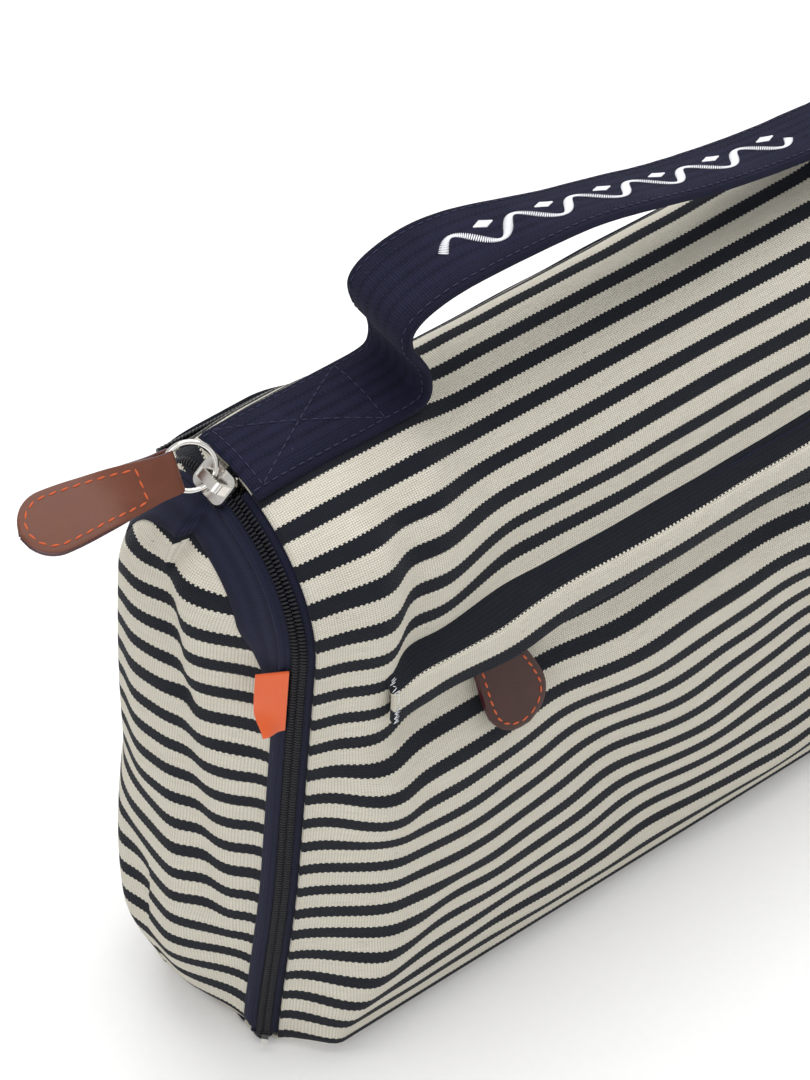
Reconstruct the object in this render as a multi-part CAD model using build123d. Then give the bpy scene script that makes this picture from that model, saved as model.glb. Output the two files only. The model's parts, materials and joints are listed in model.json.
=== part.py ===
"""Small weekender bag: a soft striped canvas loaf whose whole front opens on one curved zip.

Frame: millimetres, +X to the bag's right, +Y to its back, +Z up, origin at the centre of the base.
The front panel runs up and over the rounded top as one door. It is zipped to the body along the
left seam, along the back of the top and down the right seam, and it folds down on its bottom edge.
"""
from build123d import *
import math
import os

os.makedirs("parts", exist_ok=True)

# ---- driving dimensions -------------------------------------------------------------------------
LENGTH = 300.0          # between the two end seams
DEPTH = 90.0            # front face to back face
CROWN_Z = 202.0         # height where the flat faces turn into the rounded top
R_OUT = DEPTH / 2       # outside radius of the rounded top

CANVAS = 1.2            # thickness of the striped cloth
FOAM = 3.0              # padding behind it
LINING = 0.6            # inner cloth
GAP = 0.1               # air left between layers

BEVEL = 10.0            # the zip lies on a 45 degree bevel this wide along the end seams
DOOR_HALF = 138.4       # half length of the door's stiff panel
FOAM_HALF = 134.0       # half length of the padding and the lining inside it
DOOR_FOOT = 3.0         # the door's layers start this far above the floor
TOP_ZIP_ANGLE = 145.0   # where the top run of the zip crosses the rounded top, from the front

COIL_GAP = 0.75         # half the gap between the two coils
COIL_WIDE = 2.2         # width of one coil
COIL_THICK = 1.6
TAPE = 0.5              # zip tape thickness

SLIDER_LONG = 13.0
SLIDER_WIDE = 9.5

STRAP_WIDE = 28.0
STRAP_THICK = 3.0
PATCH_IN, PATCH_OUT = 89.0, 139.0   # the flat sewn ends of the handle, along X
PATCH_THICK = 2.6
HANDLE_PIVOT_Z = 251.0

TAB_LONG = 45.0
TAB_ROOT_WIDE = 12.0
TAB_END_WIDE = 18.0
TAB_THICK = 2.8

POCKET_HALF = 121.0     # the pocket's welt runs from -121 to +121
POCKET_TOP = 192.5
POCKET_LOW = 172.0
POCKET_ZIP_Z = 184.0
POCKET_DEEP = 120.0
PULL_X = -80.0          # where the pocket's slider stands at rest

AXIS_CROWN = Axis((0, 0, CROWN_Z), (-1, 0, 0))     # turning about this lifts the front edge upwards


def save(node, shape):
    """Write one sub-part to its own STEP file."""
    solids = shape.solids() if hasattr(shape, "solids") else [shape]
    out = solids[0] if len(solids) == 1 else Compound(children=list(solids))
    out.label = node
    export_step(out, f"parts/{node}.step")
    print(f"{node}: {len(solids)} solid(s), {sum(s.volume for s in solids):.1f} mm3")


def box(x0, x1, y0, y1, z0, z1):
    """An axis-aligned block between two corners."""
    size = (x1 - x0, y1 - y0, z1 - z0)
    return Pos((x0 + x1) / 2, (y0 + y1) / 2, (z0 + z1) / 2) * Box(*size)


def loaf(radius, half, z0):
    """The bag's end outline, drawn in by (R_OUT - radius), as a solid block along X."""
    block = box(-half, half, -radius, radius, z0, CROWN_Z)
    crown = Pos(0, 0, CROWN_Z) * Rot(0, 90, 0) * Cylinder(radius, 2 * half)
    return block + crown


def wedge(start, stop):
    """A sector about the crown axis, from angle start to stop, measured from the front over the top."""
    reach = 3 * R_OUT
    steps = max(2, math.ceil((stop - start) / 40))
    angles = [start + (stop - start) * i / steps for i in range(steps + 1)]
    rim = [(0, -reach * math.cos(math.radians(a)), CROWN_Z + reach * math.sin(math.radians(a)))
           for a in angles]
    face = make_face(Polyline([(0, 0, CROWN_Z), *rim], close=True))
    return extrude(face, LENGTH, dir=(1, 0, 0), both=True)


def door_layer(outer, thick, half):
    """One layer of the door: flat front wall and rounded top, up to the top run of the zip."""
    shell = loaf(outer, half, DOOR_FOOT) - loaf(outer - thick, half + 1, 0)
    front = shell & box(-LENGTH, LENGTH, -DEPTH, 0, 0, CROWN_Z)
    top = shell & wedge(0, DOOR_EDGE)
    return front + top


def back_layer(outer, thick, half, z0):
    """One layer of the back wall, with the part of the rounded top behind the zip."""
    shell = loaf(outer, half, z0) - loaf(outer - thick, half + 1, 0)
    back = shell & box(-LENGTH, LENGTH, 0, DEPTH, 0, CROWN_Z)
    top = shell & wedge(BACK_EDGE, 180)
    return back + top


def arc_of(width):
    """Degrees on the outside of the rounded top that a width in millimetres takes."""
    return math.degrees(width / R_OUT)


def bevel_point(across, above):
    """Place on the right-hand bevel: across towards the end panel, above the zip's centre line."""
    half = math.sqrt(0.5)
    x = LENGTH / 2 - BEVEL / 2 + (across + above) * half
    radius = R_OUT - BEVEL / 2 + (above - across) * half
    return x, radius


def seam_strip(points, stop, z0):
    """A strip that follows an end seam: up the front from z0 and over the top to angle stop.

    The points are (x, distance from the crown axis).
    """
    face = make_face(Polyline([(x, -r, CROWN_Z) for x, r in points], close=True))
    rise = extrude(face, CROWN_Z - z0, dir=(0, 0, -1))
    return rise + revolve(face, AXIS_CROWN, stop)


def back_strip(points, start, z0):
    """The same kind of strip behind: from angle start over to the back and down to z0."""
    face = make_face(Polyline([(x, r, CROWN_Z) for x, r in points], close=True))
    drop = extrude(face, CROWN_Z - z0, dir=(0, 0, -1))
    return drop + revolve(face, Axis((0, 0, CROWN_Z), (1, 0, 0)), 180 - start)


def left(shape):
    """The same piece at the other end of the bag."""
    return mirror(shape, Plane.YZ)


COIL_ARC = arc_of(COIL_WIDE)
GAP_ARC = arc_of(COIL_GAP)
DOOR_EDGE = TOP_ZIP_ANGLE - GAP_ARC - COIL_ARC - arc_of(2.0)
BACK_EDGE = TOP_ZIP_ANGLE + GAP_ARC + COIL_ARC + arc_of(2.0)
FOAM_R = R_OUT - CANVAS - GAP
LINING_R = FOAM_R - FOAM - GAP
INNER_R = LINING_R - LINING
SLIDER_HALF_ANGLE = math.degrees(SLIDER_LONG / 2 / (R_OUT - BEVEL / 2))

# ---- base ---------------------------------------------------------------------------------------
base_outline = Polyline([
    (-LENGTH / 2, -R_OUT + BEVEL), (-LENGTH / 2 + BEVEL, -R_OUT), (LENGTH / 2 - BEVEL, -R_OUT),
    (LENGTH / 2, -R_OUT + BEVEL), (LENGTH / 2, R_OUT - BEVEL), (LENGTH / 2 - BEVEL, R_OUT),
    (-LENGTH / 2 + BEVEL, R_OUT), (-LENGTH / 2, R_OUT - BEVEL)], close=True)
save("bottom_panel", extrude(make_face(base_outline), CANVAS, dir=(0, 0, 1)))
BOARD_Z = CANVAS + GAP
board = box(-143, 143, -38.8, 38.8, BOARD_Z, BOARD_Z + 3.0)
board = fillet(board.edges().filter_by(Axis.Z), 8)
save("base_board", board)
save("base_lining", box(-142, 142, -38.6, 38.6, BOARD_Z + 3.0 + GAP, BOARD_Z + 3.0 + GAP + LINING))
LINING_FOOT = BOARD_Z + 3.0 + 2 * GAP + LINING

# ---- back wall ----------------------------------------------------------------------------------
save("back_panel", back_layer(R_OUT, CANVAS, LENGTH / 2 - BEVEL, CANVAS + GAP))
save("back_foam", back_layer(FOAM_R, FOAM, FOAM_HALF, LINING_FOOT))
save("back_lining", back_layer(LINING_R, LINING, FOAM_HALF, LINING_FOOT))

# ---- end panels ---------------------------------------------------------------------------------
end_outer = loaf(R_OUT - BEVEL, LENGTH / 2, CANVAS + GAP)
end_panel = end_outer & box(LENGTH / 2 - CANVAS, LENGTH, -DEPTH, DEPTH, 0, 2 * CROWN_Z)
rim_back = [(LENGTH / 2, R_OUT - BEVEL), (LENGTH / 2 - BEVEL, R_OUT), (LENGTH / 2 - BEVEL, R_OUT - CANVAS),
            (LENGTH / 2 - CANVAS, R_OUT - BEVEL)]
end_rim = back_strip(rim_back, BACK_EDGE, CANVAS + GAP)
right_gusset = end_panel + end_rim
save("right_gusset", right_gusset)
save("left_gusset", left(right_gusset))
lining_out = LENGTH / 2 - CANVAS - GAP
end_lining = (loaf(R_OUT - BEVEL - 2, lining_out, LINING_FOOT)
              & box(lining_out - LINING, lining_out, -DEPTH, DEPTH, 0, 2 * CROWN_Z))
save("right_gusset_lining", end_lining)
save("left_gusset_lining", left(end_lining))

# ---- main zip -----------------------------------------------------------------------------------
ZIP_FOOT = 8.0                                   # the two lower ends of the zip stand above the base
tape_low = -COIL_THICK / 2 - TAPE                # underside of the tape, from the zip's centre line
tape_top = -COIL_THICK / 2 - 0.02
OUTER_ARC = BACK_EDGE - 0.4

body_tape_section = [bevel_point(COIL_GAP, tape_low), bevel_point(6.2, tape_low),
                     bevel_point(6.2, tape_top), bevel_point(COIL_GAP, tape_top)]
body_coil_section = [bevel_point(COIL_GAP, -COIL_THICK / 2), bevel_point(COIL_GAP + COIL_WIDE, -COIL_THICK / 2),
                     bevel_point(COIL_GAP + COIL_WIDE, COIL_THICK / 2), bevel_point(COIL_GAP, COIL_THICK / 2)]
binding_section = [bevel_point(5.25, tape_top + 0.02), bevel_point(6.1, tape_top + 0.02),
                   bevel_point(6.1, tape_top + 0.7), bevel_point(5.25, tape_top + 0.7)]


def along_top(r0, r1, a0, a1, half):
    """A strip across the rounded top, parallel to X, between two radii and two angles."""
    ring = Pos(0, 0, CROWN_Z) * Rot(0, 90, 0) * (Cylinder(r1, 2 * half) - Cylinder(r0, 2 * half + 2))
    return ring & wedge(a0, a1)


coil_in, coil_out = R_OUT - 0.6, R_OUT - 0.6 + COIL_THICK
top_body_tape = along_top(coil_in - TAPE, coil_in, TOP_ZIP_ANGLE + GAP_ARC, BACK_EDGE - 0.1, 139.0)
top_body_coil = along_top(coil_in + 0.02, coil_out, TOP_ZIP_ANGLE + GAP_ARC,
                          TOP_ZIP_ANGLE + GAP_ARC + COIL_ARC, 139.0)
side_tape = seam_strip(body_tape_section, OUTER_ARC, ZIP_FOOT)
side_coil = seam_strip(body_coil_section, OUTER_ARC, ZIP_FOOT)
side_binding = seam_strip(binding_section, OUTER_ARC, CANVAS + GAP)
save("body_zip_tape", Compound(children=[*side_tape.solids(), *left(side_tape).solids(),
                                         *top_body_tape.solids()]))
save("body_zip_coil", Compound(children=[*side_coil.solids(), *left(side_coil).solids(),
                                         *top_body_coil.solids()]))
save("right_gusset_binding", side_binding)
save("left_gusset_binding", left(side_binding))

door_tape_section = [bevel_point(-COIL_GAP, tape_top), bevel_point(-6.0, tape_top),
                     (DOOR_HALF + 0.05, R_OUT - 0.4), (DOOR_HALF + 0.05, R_OUT - 0.4 - TAPE),
                     bevel_point(-5.7, tape_low), bevel_point(-COIL_GAP, tape_low)]
door_coil_section = [bevel_point(-COIL_GAP, -COIL_THICK / 2), bevel_point(-COIL_GAP - COIL_WIDE, -COIL_THICK / 2),
                     bevel_point(-COIL_GAP - COIL_WIDE, COIL_THICK / 2), bevel_point(-COIL_GAP, COIL_THICK / 2)]
LEFT_STOP = 90 - SLIDER_HALF_ANGLE - 0.8          # the door's left run ends just below the slider
RIGHT_STOP = DOOR_EDGE - 0.2
right_tape = seam_strip(door_tape_section, RIGHT_STOP, ZIP_FOOT)
right_coil = seam_strip(door_coil_section, RIGHT_STOP, ZIP_FOOT)
left_tape = left(seam_strip(door_tape_section, LEFT_STOP, ZIP_FOOT))
left_coil = left(seam_strip(door_coil_section, LEFT_STOP, ZIP_FOOT))
top_door_tape = along_top(coil_in - TAPE, coil_in, DOOR_EDGE + 0.1, TOP_ZIP_ANGLE - GAP_ARC, DOOR_HALF)
top_door_coil = along_top(coil_in + 0.02, coil_out, TOP_ZIP_ANGLE - GAP_ARC - COIL_ARC,
                          TOP_ZIP_ANGLE - GAP_ARC, DOOR_HALF)
save("flap_zip_tape", Compound(children=[*right_tape.solids(), *left_tape.solids(), *top_door_tape.solids()]))
save("flap_zip_coil", Compound(children=[*right_coil.solids(), *left_coil.solids(), *top_door_coil.solids()]))


def stop_block(side):
    """A clamped metal end stop on the body's half of the zip, at one bottom corner."""
    points = [bevel_point(COIL_GAP, -0.7), bevel_point(COIL_GAP + COIL_WIDE, -0.7),
              bevel_point(COIL_GAP + COIL_WIDE, 0.9), bevel_point(COIL_GAP, 0.9)]
    face = make_face(Polyline([(side * x, -r, ZIP_FOOT - 0.1) for x, r in points], close=True))
    return extrude(face, 3.0, dir=(0, 0, -1))


save("zip_end_stops", Compound(children=[stop_block(1), stop_block(-1)]))

# ---- label tab in the left seam ------------------------------------------------------------------
tab_x, tab_y = -LENGTH / 2 - 0.05, -R_OUT + BEVEL
seam_tab = box(tab_x - 8.3, tab_x, tab_y - 0.9, tab_y + 0.5, 173.0, 200.0)
save("seam_tab", fillet(seam_tab.edges().filter_by(Axis.Y).group_by(Axis.X)[0], 2))

# ---- front panel and the layers behind it --------------------------------------------------------
slot_z0, slot_z1 = POCKET_ZIP_Z - 4.6, POCKET_ZIP_Z + 3.0
SLOT_HALF = POCKET_HALF - 4
pocket_slot = box(-SLOT_HALF, SLOT_HALF, -DEPTH, -R_OUT + 8, slot_z0, slot_z1)
save("front_panel", door_layer(R_OUT, CANVAS, DOOR_HALF) - pocket_slot)
save("front_foam", door_layer(FOAM_R, FOAM, FOAM_HALF) - pocket_slot)
save("front_lining", door_layer(LINING_R, LINING, FOAM_HALF) - pocket_slot)

# ---- front pocket --------------------------------------------------------------------------------
face_y = -R_OUT
flap_out, flap_in = face_y - 5.2, face_y - 4.0
flap_line = Polyline([(0, face_y - 0.05, POCKET_TOP), (0, flap_out, POCKET_TOP - 3.0),
                      (0, flap_out, POCKET_LOW), (0, flap_in, POCKET_LOW),
                      (0, flap_in, POCKET_TOP - 3.6), (0, face_y - 0.05, POCKET_TOP - 1.3)], close=True)
save("pocket_flap", extrude(make_face(flap_line), POCKET_HALF, dir=(1, 0, 0), both=True))

PZIP_GAP, PZIP_WIDE, PZIP_THICK = 0.6, 1.8, 1.4
tape_y0, tape_y1 = face_y - 0.45, face_y - 0.05
PZ = POCKET_ZIP_Z
upper_tape = box(-SLOT_HALF - 2, SLOT_HALF + 2, tape_y0, tape_y1, PZ + PZIP_GAP, PZ + 5.0)
lower_tape = box(-SLOT_HALF - 2, SLOT_HALF + 2, tape_y0, tape_y1, PZ - 6.5, PZ - PZIP_GAP)
save("pocket_zip_tape", Compound(children=[upper_tape, lower_tape]))
coil_y0, coil_y1 = tape_y0 - 0.02 - PZIP_THICK, tape_y0 - 0.02
COIL_HALF = SLOT_HALF - 4
upper_coil = box(-COIL_HALF, COIL_HALF, coil_y0, coil_y1, PZ + PZIP_GAP, PZ + PZIP_GAP + PZIP_WIDE)
lower_coil = box(-COIL_HALF, COIL_HALF, coil_y0, coil_y1, PZ - PZIP_GAP - PZIP_WIDE, PZ - PZIP_GAP)
save("pocket_zip_coil", Compound(children=[upper_coil, lower_coil]))
pocket_stops = [box(s * (COIL_HALF + 1.6) - 1.4, s * (COIL_HALF + 1.6) + 1.4, coil_y0, coil_y1, PZ - 2.4, PZ + 2.4)
                for s in (-1, 1)]
save("pocket_zip_stops", Compound(children=pocket_stops))
bartacks = [box(s * (POCKET_HALF - 1.5) - 0.7, s * (POCKET_HALF - 1.5) + 0.7, flap_out - 0.4, flap_out,
                POCKET_LOW + 2, POCKET_TOP - 4) for s in (-1, 1)]
save("pocket_bartacks", Compound(children=bartacks))
bag_y0, bag_y1 = -INNER_R + GAP, -INNER_R + GAP + 3.0
pocket_bag = (box(-112, 112, bag_y0, bag_y1, slot_z1 + 4 - POCKET_DEEP, slot_z1 + 4)
              - box(-111.4, 111.4, bag_y0 + LINING, bag_y1 - LINING, slot_z1 + 5 - POCKET_DEEP, slot_z1 + 3)
              - box(-SLOT_HALF + 8, SLOT_HALF - 8, bag_y0 - 1, bag_y0 + LINING, slot_z0, slot_z1))
save("pocket_bag", pocket_bag)

# ---- pocket slider and its leather pull ----------------------------------------------------------
plate_y = coil_y0 - 0.3
slider_front = box(PULL_X - 5, PULL_X + 5, plate_y - 0.7, plate_y, PZ - 3.8, PZ + 3.8)
lips = [box(PULL_X - 5, PULL_X + 5, plate_y - 0.1, tape_y0 - 0.3, PZ + z0, PZ + z1)
        for z0, z1 in ((3.0, 3.8), (-3.8, -3.0))]
post = box(PULL_X + 2, PULL_X + 4.6, plate_y - 0.1, face_y + 0.5, PZ - 0.3, PZ + 0.3)
slider_back = box(PULL_X - 5, PULL_X + 5, face_y + 0.4, face_y + 1.1, PZ - 2.6, PZ + 2.6)
PIN_Z = PZ - 6.2
tongue = box(PULL_X - 1.6, PULL_X + 1.6, plate_y - 0.7, plate_y, PIN_Z - 1.2, PZ - 3.7)
pin = Pos(PULL_X, plate_y + 0.55, PIN_Z) * Rot(90, 0, 0) * Cylinder(0.7, 1.3)
save("pocket_slider_body", slider_front + lips[0] + lips[1] + post + slider_back + tongue + pin)

PRING_R, PWIRE = 2.9, 1.0
ring_y = plate_y + 0.65
ring_z = PIN_Z + 0.7 + 0.3 - (PRING_R - PWIRE / 2)
pocket_ring = Pos(PULL_X, ring_y, ring_z) * Rot(90, 0, 0) * Torus(PRING_R, PWIRE / 2)
save("pocket_ring", pocket_ring)


def leather_tab(length, root_wide, end_wide, thick):
    """A pull tab along +X from x=0, its face up: tapered root, wide rounded end."""
    arc_x = length - end_wide / 2
    outline = [Line((0, -root_wide / 2), (arc_x, -end_wide / 2)),
               ThreePointArc((arc_x, -end_wide / 2), (length, 0), (arc_x, end_wide / 2)),
               Line((arc_x, end_wide / 2), (0, root_wide / 2)), Line((0, root_wide / 2), (0, -root_wide / 2))]
    return extrude(make_face(Wire(outline)), thick / 2, dir=(0, 0, 1), both=True)


def tab_stitches(length, root_wide, end_wide, thick, line_x, inset=2.2, pitch=3.2):
    """Saddle stitches on both faces of a pull tab: along the edge and across the root."""
    run = length - end_wide / 2
    half_root, half_end = root_wide / 2 - inset, end_wide / 2 - inset
    spots = []
    count = int((run - line_x) / pitch)
    for i in range(count):
        x = line_x + (i + 0.5) * pitch
        y = half_root + (half_end - half_root) * x / run
        spots += [(x, y, 0), (x, -y, 0)]
    turns = max(3, int(math.pi * half_end / pitch))
    for i in range(turns):
        a = -90 + (i + 0.5) * 180 / turns
        spots.append((run + half_end * math.cos(math.radians(a)), half_end * math.sin(math.radians(a)), a + 90))
    rows = max(2, int(2 * half_root / pitch))
    for i in range(rows):
        spots.append((line_x, -half_root + (i + 0.5) * 2 * half_root / rows, 90))
    pieces = []
    for side in (-1, 1):
        for x, y, turn in spots:
            pieces.append(Pos(x, y, side * (thick / 2 + 0.17)) * Rot(0, 0, turn) * Box(2.3, 0.6, 0.3))
    return Compound(children=pieces)


TAB2_LONG, TAB2_ROOT, TAB2_END, TAB2_THICK = 31.0, 12.0, 17.0, 1.9
tab2_place = Plane(origin=(PULL_X, ring_y - 0.12, ring_z - 1.0), x_dir=(0, 0, -1), z_dir=(0, -1, 0))
ring_cut = Pos(PULL_X, ring_y, ring_z) * Rot(90, 0, 0) * Torus(PRING_R, PWIRE / 2 + 0.1)
tab2 = tab2_place.location * leather_tab(TAB2_LONG, TAB2_ROOT, TAB2_END, TAB2_THICK)
tab2_notch = box(PULL_X - 2.0, PULL_X + 2.0, -R_OUT - 6, -R_OUT, ring_z - 2.2, ring_z + 3)
save("pocket_tab_leather", tab2 - ring_cut - tab2_notch)
save("pocket_tab_stitching", tab2_place.location * tab_stitches(TAB2_LONG, TAB2_ROOT, TAB2_END, TAB2_THICK, 8.0))

# ---- main slider, ring and leather pull ----------------------------------------------------------
top_x, top_r = bevel_point(0, 0)
apex = Vector(-top_x, 0, CROWN_Z + top_r)
slider_plane = Plane(origin=apex, x_dir=(0, 1, 0), z_dir=(-1, 0, 1))   # local x runs to the back
long_half, wide_half = SLIDER_LONG / 2, SLIDER_WIDE / 2


def slab(x0, x1, y0, y1, z0, z1, corner=0.0):
    """A block in the slider's own frame: x along the zip, y across it, z outwards."""
    block = box(x0, x1, y0, y1, z0, z1)
    return fillet(block.edges().filter_by(Axis.Z), corner) if corner else block


plate_in, plate_out = 1.4, 2.8
top_plate = slab(-long_half, long_half, -wide_half, wide_half, plate_in, plate_out, 2.6)
low_plate = slab(-long_half, long_half, -wide_half, wide_half, -3.1, -2.1, 2.6)
flanges = [slab(-long_half + 2.6, long_half - 2.6, y0, y1, -0.2, plate_in + 0.1)
           for y0, y1 in ((3.85, wide_half), (-wide_half, -3.85))]
neck = slab(1.0, 3.6, -0.3, 0.3, -2.2, plate_in + 0.1)
save("main_slider_body", slider_plane.location * (top_plate + low_plate + flanges[0] + flanges[1] + neck))

TUNNEL = 1.25                                     # half height of the bridge's tunnel
tunnel_n = plate_out + 0.05 + TUNNEL
bridge_wide = 1.5
bridge_outer = slab(-4.6, 4.6, -bridge_wide, bridge_wide, plate_out, tunnel_n + TUNNEL + 1.0)
bridge_outer = fillet(bridge_outer.edges().filter_by(Axis.Y).group_by(Axis.Z)[-1], 1.8)
bridge_hole = slab(-3.3, 3.3, -2, 2, plate_out - 1, tunnel_n + TUNNEL)
bridge_hole = fillet(bridge_hole.edges().filter_by(Axis.Y).group_by(Axis.Z)[-1], 0.9)
save("main_slider_bridge", slider_plane.location * (bridge_outer - bridge_hole))

RING_R, WIRE = 7.3, 1.5
normal_out = Vector(-1, 0, 1).normalized()
tunnel_axis = Vector(1, 0, 1).normalized()
tunnel = apex + normal_out * tunnel_n
lean = Vector(-0.543, 0.640, 0.543).normalized()          # the ring leans up and back
ring_centre = tunnel + lean * RING_R
tab_dir = (tunnel_axis * -0.799 + lean * 0.602).normalized()
ring_normal = tunnel_axis.cross(lean)
BAR_AT = 5.2                                              # the straight bar, out from the centre
ring_plane = Plane(origin=ring_centre, x_dir=tab_dir, z_dir=ring_normal)
bar_half = math.sqrt(RING_R ** 2 - BAR_AT ** 2)
bar_turn = math.degrees(math.atan2(bar_half, BAR_AT))
round_wire = CenterArc((0, 0), RING_R, bar_turn, 360 - 2 * bar_turn)
ring_arc = sweep(Plane(origin=round_wire @ 0, z_dir=round_wire % 0) * Circle(WIRE / 2), path=round_wire)
ring_bar = Pos(BAR_AT, 0, 0) * Rot(90, 0, 0) * Cylinder(WIRE / 2, 2 * bar_half)
ring_ends = [Pos(BAR_AT, s * bar_half, 0) * Sphere(WIRE / 2) for s in (-1, 1)]
save("main_ring", ring_plane.location * (ring_arc + ring_bar + ring_ends[0] + ring_ends[1]))

TAB_NECK = 2 * (bar_half - 1.6)                           # the fold is narrower than the bar
tab_plane = Plane(origin=ring_centre + tab_dir * BAR_AT, x_dir=tab_dir, z_dir=ring_normal)
fold_r = TAB_THICK / 2
tab_fold = Rot(90, 0, 0) * Cylinder(fold_r, TAB_NECK) + box(0, 4, -TAB_NECK / 2, TAB_NECK / 2, -fold_r, fold_r)
tab_body = Pos(2.2, 0, 0) * leather_tab(TAB_LONG - 2.2, TAB_ROOT_WIDE, TAB_END_WIDE, TAB_THICK)
bar_room = Rot(90, 0, 0) * Cylinder(WIRE / 2 + 0.3, 3 * TAB_END_WIDE)
wire_room = Pos(-BAR_AT, 0, 0) * (Cylinder(RING_R + 1.4, 4) - Cylinder(RING_R - 1.4, 5))
corner_cut = box(-3, 2.6, bar_half - 1.6, 12, -3, 3) + box(-3, 2.6, -12, -bar_half + 1.6, -3, 3)
main_tab = tab_fold + tab_body - bar_room - corner_cut
save("main_tab_leather", tab_plane.location * main_tab)
save("main_tab_stitching", tab_plane.location * (
    Pos(2.2, 0, 0) * tab_stitches(TAB_LONG - 2.2, TAB_ROOT_WIDE, TAB_END_WIDE, TAB_THICK, 8.5)))

# ---- handle --------------------------------------------------------------------------------------
for node, s in (("handle_end_left", -1), ("handle_end_right", 1)):
    x0, x1 = sorted((s * PATCH_IN, s * PATCH_OUT))
    ring = Pos(0, 0, CROWN_Z) * Rot(0, 90, 0) * (Cylinder(R_OUT + 0.05 + PATCH_THICK, 2 * PATCH_OUT)
                                                 - Cylinder(R_OUT + 0.05, 3 * PATCH_OUT))
    save(node, ring & box(x0, x1, -STRAP_WIDE / 2, STRAP_WIDE / 2, CROWN_Z, 2 * CROWN_Z))

ARCH = [(-91.0, 249.5), (-99.0, 277.0), (-69.0, 290.0), (-30.0, 286.0), (-2.0, 278.6), (18.0, 272.6),
        (61.0, 266.6), (88.0, 263.0), (92.5, 249.5)]
ARCH_RADII = [11.0, 22.0, 40.0, 60.0, 60.0, 90.0, 6.5]
arch_line = FilletPolyline(*ARCH, radius=ARCH_RADII)


def ribbon(thick, wide, line=arch_line):
    """The arch as a flat band of the given thickness and width, centred on its line."""
    outline = offset(line, thick / 2, side=Side.BOTH)
    face = make_face(outline)
    upright = Plane(origin=(0, 0, 0), x_dir=(1, 0, 0), z_dir=(0, -1, 0))
    return extrude(upright.location * face, wide / 2, dir=(0, 1, 0), both=True)


def foot_cut():
    """The V under both feet of the arch that lets it lean to either side."""
    half = STRAP_WIDE / 2 + 2
    rise = half * math.tan(math.radians(29))
    face = make_face(Polyline([(0, 0, HANDLE_PIVOT_Z + 0.3), (0, half, HANDLE_PIVOT_Z + 0.3 + rise),
                               (0, half, HANDLE_PIVOT_Z - 9), (0, -half, HANDLE_PIVOT_Z - 9),
                               (0, -half, HANDLE_PIVOT_Z + 0.3 + rise)], close=True))
    return extrude(face, LENGTH, dir=(1, 0, 0), both=True)


feet = foot_cut()
save("handle_strap", ribbon(STRAP_THICK, STRAP_WIDE) - ribbon(1.4, STRAP_WIDE - 3.0) - feet)
save("handle_core", ribbon(1.2, STRAP_WIDE - 3.4) - feet)
over = (ribbon(STRAP_THICK + 0.9, 14.0) - ribbon(STRAP_THICK + 0.04, STRAP_WIDE)) & box(-72, 61, -9, 9, 266, 300)
save("handle_embroidery", max(over.solids(), key=lambda s: s.center().Z))
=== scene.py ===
"""The looks of a small striped canvas weekender bag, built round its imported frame.

Every piece is in metres, in the frame's own axes: +X along the bag, -Y its front, +Z up.
"""
import json
import logging
import math
from bisect import bisect_right
from dataclasses import dataclass, field
from enum import Enum
from typing import Callable, Iterable, Sequence

import bpy
from mathutils import Matrix, Vector, noise


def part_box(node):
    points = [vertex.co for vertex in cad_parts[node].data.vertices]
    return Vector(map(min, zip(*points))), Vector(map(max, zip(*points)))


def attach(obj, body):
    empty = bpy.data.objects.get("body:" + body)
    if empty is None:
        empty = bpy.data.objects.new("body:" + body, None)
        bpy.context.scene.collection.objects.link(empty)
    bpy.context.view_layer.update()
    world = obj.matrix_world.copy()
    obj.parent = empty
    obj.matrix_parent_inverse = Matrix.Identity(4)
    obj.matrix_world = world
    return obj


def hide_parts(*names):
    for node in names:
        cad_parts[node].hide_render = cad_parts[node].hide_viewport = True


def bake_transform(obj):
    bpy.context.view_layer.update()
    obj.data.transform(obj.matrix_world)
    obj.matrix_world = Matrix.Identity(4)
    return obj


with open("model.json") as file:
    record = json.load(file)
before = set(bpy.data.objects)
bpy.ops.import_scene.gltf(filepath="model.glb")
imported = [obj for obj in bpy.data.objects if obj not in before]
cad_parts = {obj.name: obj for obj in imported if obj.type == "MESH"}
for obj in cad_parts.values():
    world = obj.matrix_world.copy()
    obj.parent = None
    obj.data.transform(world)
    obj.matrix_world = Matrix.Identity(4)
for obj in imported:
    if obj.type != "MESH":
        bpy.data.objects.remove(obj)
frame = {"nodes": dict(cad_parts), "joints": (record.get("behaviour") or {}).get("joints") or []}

MM = 0.001
LOG = logging.getLogger("weekender")
HALF_ROOT = math.sqrt(0.5)
Place = Callable[[float, float], Vector]


# ---- small shared tools ----------------------------------------------------------------------------
def smooth(t: float) -> float:
    """Ease from 0 to 1 as t goes from 0 to 1."""
    t = min(1.0, max(0.0, t))
    return t * t * (3 - 2 * t)


def lerp(a: float, b: float, t: float) -> float:
    """The value t of the way from a to b."""
    return a + (b - a) * t


def clear_selection() -> None:
    """Leave edit mode and deselect everything."""
    if bpy.context.object and bpy.context.object.mode != "OBJECT":
        bpy.ops.object.mode_set(mode="OBJECT")
    bpy.ops.object.select_all(action="DESELECT")


def pick(obj: bpy.types.Object) -> None:
    """Make one object the only selected one and the active one."""
    clear_selection()
    obj.select_set(True)
    bpy.context.view_layer.objects.active = obj


def edit_all(obj: bpy.types.Object, *steps: Callable[[], object]) -> None:
    """Run edit-mode operators on everything in a mesh.

    Args:
        obj: The mesh object.
        steps: Calls that each run one operator.
    """
    pick(obj)
    bpy.ops.object.mode_set(mode="EDIT")
    bpy.ops.mesh.select_all(action="SELECT")
    for step in steps:
        step()
    bpy.ops.object.mode_set(mode="OBJECT")


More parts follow.
